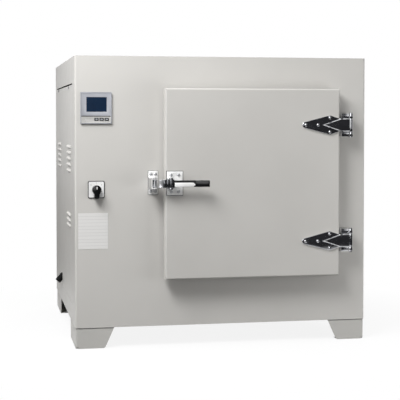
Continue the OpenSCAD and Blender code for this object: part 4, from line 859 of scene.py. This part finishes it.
# %% Keys and lamps
PAD_RADIUS = 1.9 * MM
PAD_HALF = 1.4 * MM
toward_camera = Matrix.Rotation(math.radians(90), 4, "X")
marks = {
    "key_left": arc(0, 0, 1.1 * MM, 0, 330, 11),
    "key_middle": [(-1.3 * MM, -0.8 * MM), (1.3 * MM, -0.8 * MM), (0, 1.1 * MM)],
    "key_right": [(-1.3 * MM, 0.8 * MM), (0, -1.1 * MM), (1.3 * MM, 0.8 * MM)],
}
for name, body in (("key_left", "key_1"), ("key_middle", "key_2"), ("key_right", "key_3")):
    softened(name, name + "_soft", key_rubber, body, 0.6 * MM, 3)
    key_low, key_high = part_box(name)
    middle = (key_low + key_high) / 2
    right_end = arc(middle.x + PAD_HALF, middle.z, PAD_RADIUS, -90, 90, 8)
    left_end = arc(middle.x - PAD_HALF, middle.z, PAD_RADIUS, 90, 270, 8)
    pad = slab(right_end + left_end, "XZ", key_low.y + 0.1 * MM, -0.25 * MM)
    make_piece(pad, name + "_pad", pad_rubber, body)
    mark = slab(
        [(middle.x + x, middle.z + z) for x, z in marks[name]], "XZ", key_low.y - 0.12 * MM, -0.06 * MM
    )
    make_piece(mark, name + "_mark", grey_ink, body)
LAMPS_LEFT = 32.5 * MM
LAMPS_DOWN = (36.5 * MM, 44.5 * MM)
dome = [
    (0.05 * MM, 0), (1.4 * MM, 0), (1.3 * MM, 0.35 * MM), (0.9 * MM, 0.65 * MM), (0.05 * MM, 0.8 * MM),
]
lamps = bmesh.new()
for down in LAMPS_DOWN:
    place = (bezel_mid.x - LAMPS_LEFT, bezel_face + 0.35 * MM, bezel_mid.z - down)
    join(lamps, turned(dome, place, toward_camera, 20))
make_piece(lamps, "controller_lamps", lens_clear, "cabinet")

# %% [markdown]
# ## The rotary switch
# The knob is a polished black disc with a tapering tail. Its pointer is a line moulded in and filled
# with white paint. The silver plate behind it carries the three positions as plain numbers, because a
# switch is useless without them.

# %% Rotary switch
softened("switch_knob", "switch_knob_polished", knob_abs, "knob", 1.0 * MM, 3)
softened("switch_frame", "switch_frame_moulded", black_abs, "cabinet", 0.8 * MM, 3)
POINTER_RADIUS = 1.3 * MM
POINTER_FROM = 3 * MM
POINTER_TO = 9.5 * MM
knob_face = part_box("switch_knob")[0].y
knob_axis = joint_place["knob_turn"]
upper_end = arc(knob_axis.x, knob_axis.z + POINTER_TO, POINTER_RADIUS, 0, 180, 6)
lower_end = arc(knob_axis.x, knob_axis.z + POINTER_FROM, POINTER_RADIUS, 180, 360, 6)
pointer = slab(upper_end + lower_end, "XZ", knob_face + 0.1 * MM, -0.2 * MM)
make_piece(pointer, "switch_pointer", white_ink, "knob")

# %% Numbers on the plate
PRINT_THICK = 0.04 * MM
NUMBER_TALL = 6 * MM
NUMBER_ASIDE = 24 * MM
NUMBER_UP = 21 * MM
plate_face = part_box("switch_plate")[0].y


def printed(words, x, z, tall, front):
    letters = bpy.data.curves.new("print", "FONT")
    letters.body = words
    letters.size = tall
    letters.extrude = PRINT_THICK
    letters.align_x = "CENTER"
    letters.align_y = "CENTER"
    item = bpy.data.objects.new("print", letters)
    bpy.context.scene.collection.objects.link(item)
    bpy.context.view_layer.update()
    mesh = bpy.data.meshes.new_from_object(item.evaluated_get(bpy.context.evaluated_depsgraph_get()))
    bpy.data.objects.remove(item)
    shape = bmesh.new()
    shape.from_mesh(mesh)
    bpy.data.meshes.remove(mesh)
    bmesh.ops.transform(shape, verts=shape.verts, matrix=Matrix.Translation((x, front, z)) @ toward_camera)
    return shape


positions = bmesh.new()
for number, angle in enumerate((135, 90, 45)):
    spot_x = knob_axis.x + math.cos(math.radians(angle)) * NUMBER_ASIDE
    spot_z = knob_axis.z + math.sin(math.radians(angle)) * NUMBER_UP
    join(positions, printed(str(number), spot_x, spot_z, NUMBER_TALL, plate_face - PRINT_THICK))
make_piece(positions, "switch_numbers", grey_ink, "cabinet")

# %% [markdown]
# ## Small screws on the cover and the back
# The left cover and the rear panel are held by low pan heads. The feet are bolted from below with plain
# hexagon heads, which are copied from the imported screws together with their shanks.

# %% Cover and rear screws
COVER_SCREWS_BACK = (240, 716)
COVER_SCREW_DOWN = 6 * MM
REAR_SCREW_IN = 20 * MM
cover_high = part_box("left_cover")[1]
frame_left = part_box("left_frame")[0].x
cover_spots = [
    Vector((frame_left, panel_y + back * MM, cover_high.z - COVER_SCREW_DOWN)) for back in COVER_SCREWS_BACK
]
rear_low, rear_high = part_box("rear_panel")
rear_mid = (rear_low.x + rear_high.x) / 2
rear_reach = (rear_high.x - rear_low.x) / 2 - REAR_SCREW_IN
rear_spots = [
    Vector((rear_mid + side * rear_reach, rear_high.y, z))
    for side in (-1, 0, 1) for z in (rear_low.z + REAR_SCREW_IN, rear_high.z - REAR_SCREW_IN)
]
small = screws_at(cover_spots, (-1, 0, 0), low_head_mesh)
join(small, screws_at(rear_spots, (0, 1, 0), low_head_mesh))
foot_bolts = bmesh.new()
foot_bolts.from_mesh(frame["nodes"]["cabinet_screws"].data)
bmesh.ops.delete(
    foot_bolts, geom=[v for v in foot_bolts.verts if v.co.z > rear_low.z + 5 * MM], context="VERTS"
)
bmesh.ops.remove_doubles(foot_bolts, verts=foot_bolts.verts, dist=WELD_GAP)
join(small, foot_bolts)
make_piece(small, "cabinet_screw_heads", screw_plate, "cabinet", ("cabinet_screws",))

# %% [markdown]
# ## The cable gland
# Low on the left side the supply cable leaves through an angled gland. Its sleeve is soft black rubber
# with rings moulded round it, which let it bend without a kink. The flange and the sleeve are a rounded
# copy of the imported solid, and the rings are spun and laid over the sleeve.

# %% Cable gland
softened("cable_gland", "cable_gland_moulded", gland_rubber, "cabinet", 0.5 * MM)
gland_low, gland_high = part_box("cable_gland")
GLAND_ANGLE = math.radians(48)
SLEEVE = 10.5 * MM
sleeve_way = Vector((-math.cos(GLAND_ANGLE), 0, -math.sin(GLAND_ANGLE)))
sleeve_root = Vector((frame_left - 2 * MM, (gland_low.y + gland_high.y) / 2, gland_high.z - 14.5 * MM))
facing = Vector((0, 0, 1)).rotation_difference(sleeve_way).to_matrix().to_4x4()
ring_profile = [
    (SLEEVE - 0.4 * MM, -1 * MM), (SLEEVE + 0.4 * MM, -1 * MM), (SLEEVE + 0.8 * MM, -0.4 * MM),
    (SLEEVE + 0.8 * MM, 0.4 * MM), (SLEEVE + 0.4 * MM, 1 * MM), (SLEEVE - 0.4 * MM, 1 * MM),
]
rings = bmesh.new()
for along in (9 * MM, 13.5 * MM, 18 * MM):
    join(rings, turned(ring_profile, sleeve_root + sleeve_way * along, facing))
make_piece(rings, "cable_gland_rings", gland_rubber, "cabinet")

# %% [markdown]
# ## Studio
# A floor runs out to the horizon and the room is white behind it. The camera sees both as white, but the
# floor keeps a trace of the shadow, as in a catalogue picture. For the light that it throws back onto the
# oven it is a dull grey, so the front may darken downwards. Polished metal needs something dark to mirror
# and one bright thing to draw a line with, so mirrored rays find a dark room with a bright upright strip.

# %% Floor
stage_shape = bmesh.new()
bmesh.ops.create_grid(stage_shape, x_segments=1, y_segments=1, size=12.0)
stage_mesh = bpy.data.meshes.new("studio_floor")
stage_shape.to_mesh(stage_mesh)
stage_shape.free()
floor = bpy.data.objects.new("studio_floor", stage_mesh)
floor.location.z = -0.5 * MM
bpy.context.scene.collection.objects.link(floor)

floor_paint = bpy.data.materials.new("studio_floor_white")
floor_paint.use_nodes = True
tree = floor_paint.node_tree
tree.nodes.clear()
rays = add_node(tree, "ShaderNodeLightPath")
matt = add_node(tree, "ShaderNodeBsdfDiffuse", {"Color": linear("#F2F2F2")})
dull = add_node(tree, "ShaderNodeBsdfDiffuse", {"Color": linear("#626262")})
lifted = add_node(tree, "ShaderNodeEmission", {"Color": (1, 1, 1, 1), "Strength": 1.0})
floor_place = add_node(tree, "ShaderNodeTexCoord").outputs["Object"]
away = add_node(tree, "ShaderNodeVectorMath", {0: floor_place}, operation="LENGTH")
lift = spread(tree, away.outputs["Value"], 0.88, 1.0, 0.55, 1.15)
both = add_node(tree, "ShaderNodeMixShader", {0: lift, 1: matt.outputs[0], 2: lifted.outputs[0]})
unlit = add_node(tree, "ShaderNodeEmission", {"Color": linear("#2E2E30"), "Strength": 1.0})
far_off = spread(tree, away.outputs["Value"], 0.0, 1.0, 0.9, 1.8)
polished = add_node(tree, "ShaderNodeMixShader", {0: far_off, 1: matt.outputs[0], 2: unlit.outputs[0]})
lit = add_node(
    tree, "ShaderNodeMixShader",
    {0: rays.outputs["Is Glossy Ray"], 1: dull.outputs[0], 2: polished.outputs[0]},
)
shown = add_node(
    tree, "ShaderNodeMixShader", {0: rays.outputs["Is Camera Ray"], 1: lit.outputs[0], 2: both.outputs[0]}
)
add_node(tree, "ShaderNodeOutputMaterial", {"Surface": shown.outputs[0]})
stage_mesh.materials.append(floor_paint)
print("floor:", floor.name)

# %% World
world = bpy.data.worlds.new("studio_room")
bpy.context.scene.world = world
world.use_nodes = True
tree = world.node_tree
tree.nodes.clear()
rays = add_node(tree, "ShaderNodeLightPath")
way = add_node(tree, "ShaderNodeTexCoord")
split = add_node(tree, "ShaderNodeSeparateXYZ", {0: way.outputs["Generated"]})
ahead = add_node(tree, "ShaderNodeMath", {0: split.outputs["Y"], 1: -1.0}, operation="MULTIPLY")
round_about = add_node(
    tree, "ShaderNodeMath", {0: split.outputs["X"], 1: ahead.outputs[0]}, operation="ARCTAN2"
)
whole_turn = spread(tree, round_about.outputs[0], 0.0, 1.0, -math.pi, math.pi)
ramp = add_node(tree, "ShaderNodeValToRGB", {"Fac": whole_turn})
stops = [
    (-105, "#B0B0B0"), (-80, "#4E4E50"), (-72, "#252527"), (-62, "#212123"), (-58, "#FFFFFF"),
    (0, "#FFFFFF"), (4, "#212123"), (74, "#212123"), (88, "#4E4E50"), (105, "#B0B0B0"),
]
bands = ramp.color_ramp.elements
while len(bands) < len(stops):
    bands.new(0.5)
for band, stop in zip(bands, stops):
    band.position = (stop[0] + 180) / 360
for band, stop in zip(bands, stops):
    band.color = linear(stop[1])
overhead = spread(tree, split.outputs["Z"], 0.0, 1.0, 0.5, 0.85)
mirrored = blend_colours(tree, overhead, ramp.outputs["Color"], linear("#929292"))
mirror_light = add_node(tree, "ShaderNodeBackground", {"Color": mirrored, "Strength": 2.0})
soft_light = add_node(tree, "ShaderNodeBackground", {"Color": linear("#FFFFFF"), "Strength": 0.22})
white_room = add_node(tree, "ShaderNodeBackground", {"Color": (1, 1, 1, 1), "Strength": 1.0})
unseen = add_node(
    tree, "ShaderNodeMixShader",
    {0: rays.outputs["Is Glossy Ray"], 1: soft_light.outputs[0], 2: mirror_light.outputs[0]},
)
seen = add_node(
    tree, "ShaderNodeMath", {0: rays.outputs["Is Camera Ray"], 1: rays.outputs["Is Transmission Ray"]},
    operation="MAXIMUM",
)
final = add_node(
    tree, "ShaderNodeMixShader", {0: seen.outputs[0], 1: unseen.outputs[0], 2: white_room.outputs[0]}
)
add_node(tree, "ShaderNodeOutputWorld", {"Surface": final.outputs[0]})
print("studio ready")

# %% [markdown]
# ## Lamps
# The picture is lit by one large soft box close by at the upper left, which makes the top left of the
# front the brightest and lets it fade downwards and to the right. A long one overhead draws light along
# the top edges. Four more, which polished parts do not mirror, lift the shadows: one grazes the door's
# right edge, and the others fill the lower right, the left side and the back.

# %% Lamps
def soft_box(name, place, aim, size, power, mirrored=True):
    lamp = bpy.data.lights.new(name, "AREA")
    lamp.shape = "RECTANGLE"
    lamp.size = size[0]
    lamp.size_y = size[1]
    lamp.energy = power
    item = bpy.data.objects.new(name, lamp)
    item.location = place
    item.rotation_euler = (Vector(aim) - Vector(place)).to_track_quat("-Z", "Y").to_euler()
    item.visible_glossy = mirrored
    bpy.context.scene.collection.objects.link(item)
    print(name, power, "W")


soft_box("key_left", (-1.25, -1.55, 2.25), (-0.3, -0.42, 0.8), (1.4, 1.0), 76.0)
soft_box("top_strip", (0.0, -0.2, 3.0), (0.0, 0.0, 0.9), (2.4, 1.2), 8.0)
soft_box("rim_right", (2.4, -1.15, 0.9), (0.4, -0.45, 0.4), (0.4, 1.4), 8.0, mirrored=False)
soft_box("fill_right", (1.3, -1.4, 0.25), (0.25, -0.42, 0.15), (1.0, 0.6), 7.0, mirrored=False)
soft_box("fill_left", (-2.6, -0.2, 0.15), (-0.47, 0.0, 0.15), (0.8, 0.8), 13.0, mirrored=False)
soft_box("fill_back", (1.4, 3.0, 1.5), (0.1, 0.45, 0.5), (1.6, 1.2), 42.0, mirrored=False)

bpy.context.scene.view_settings.view_transform = "Standard"
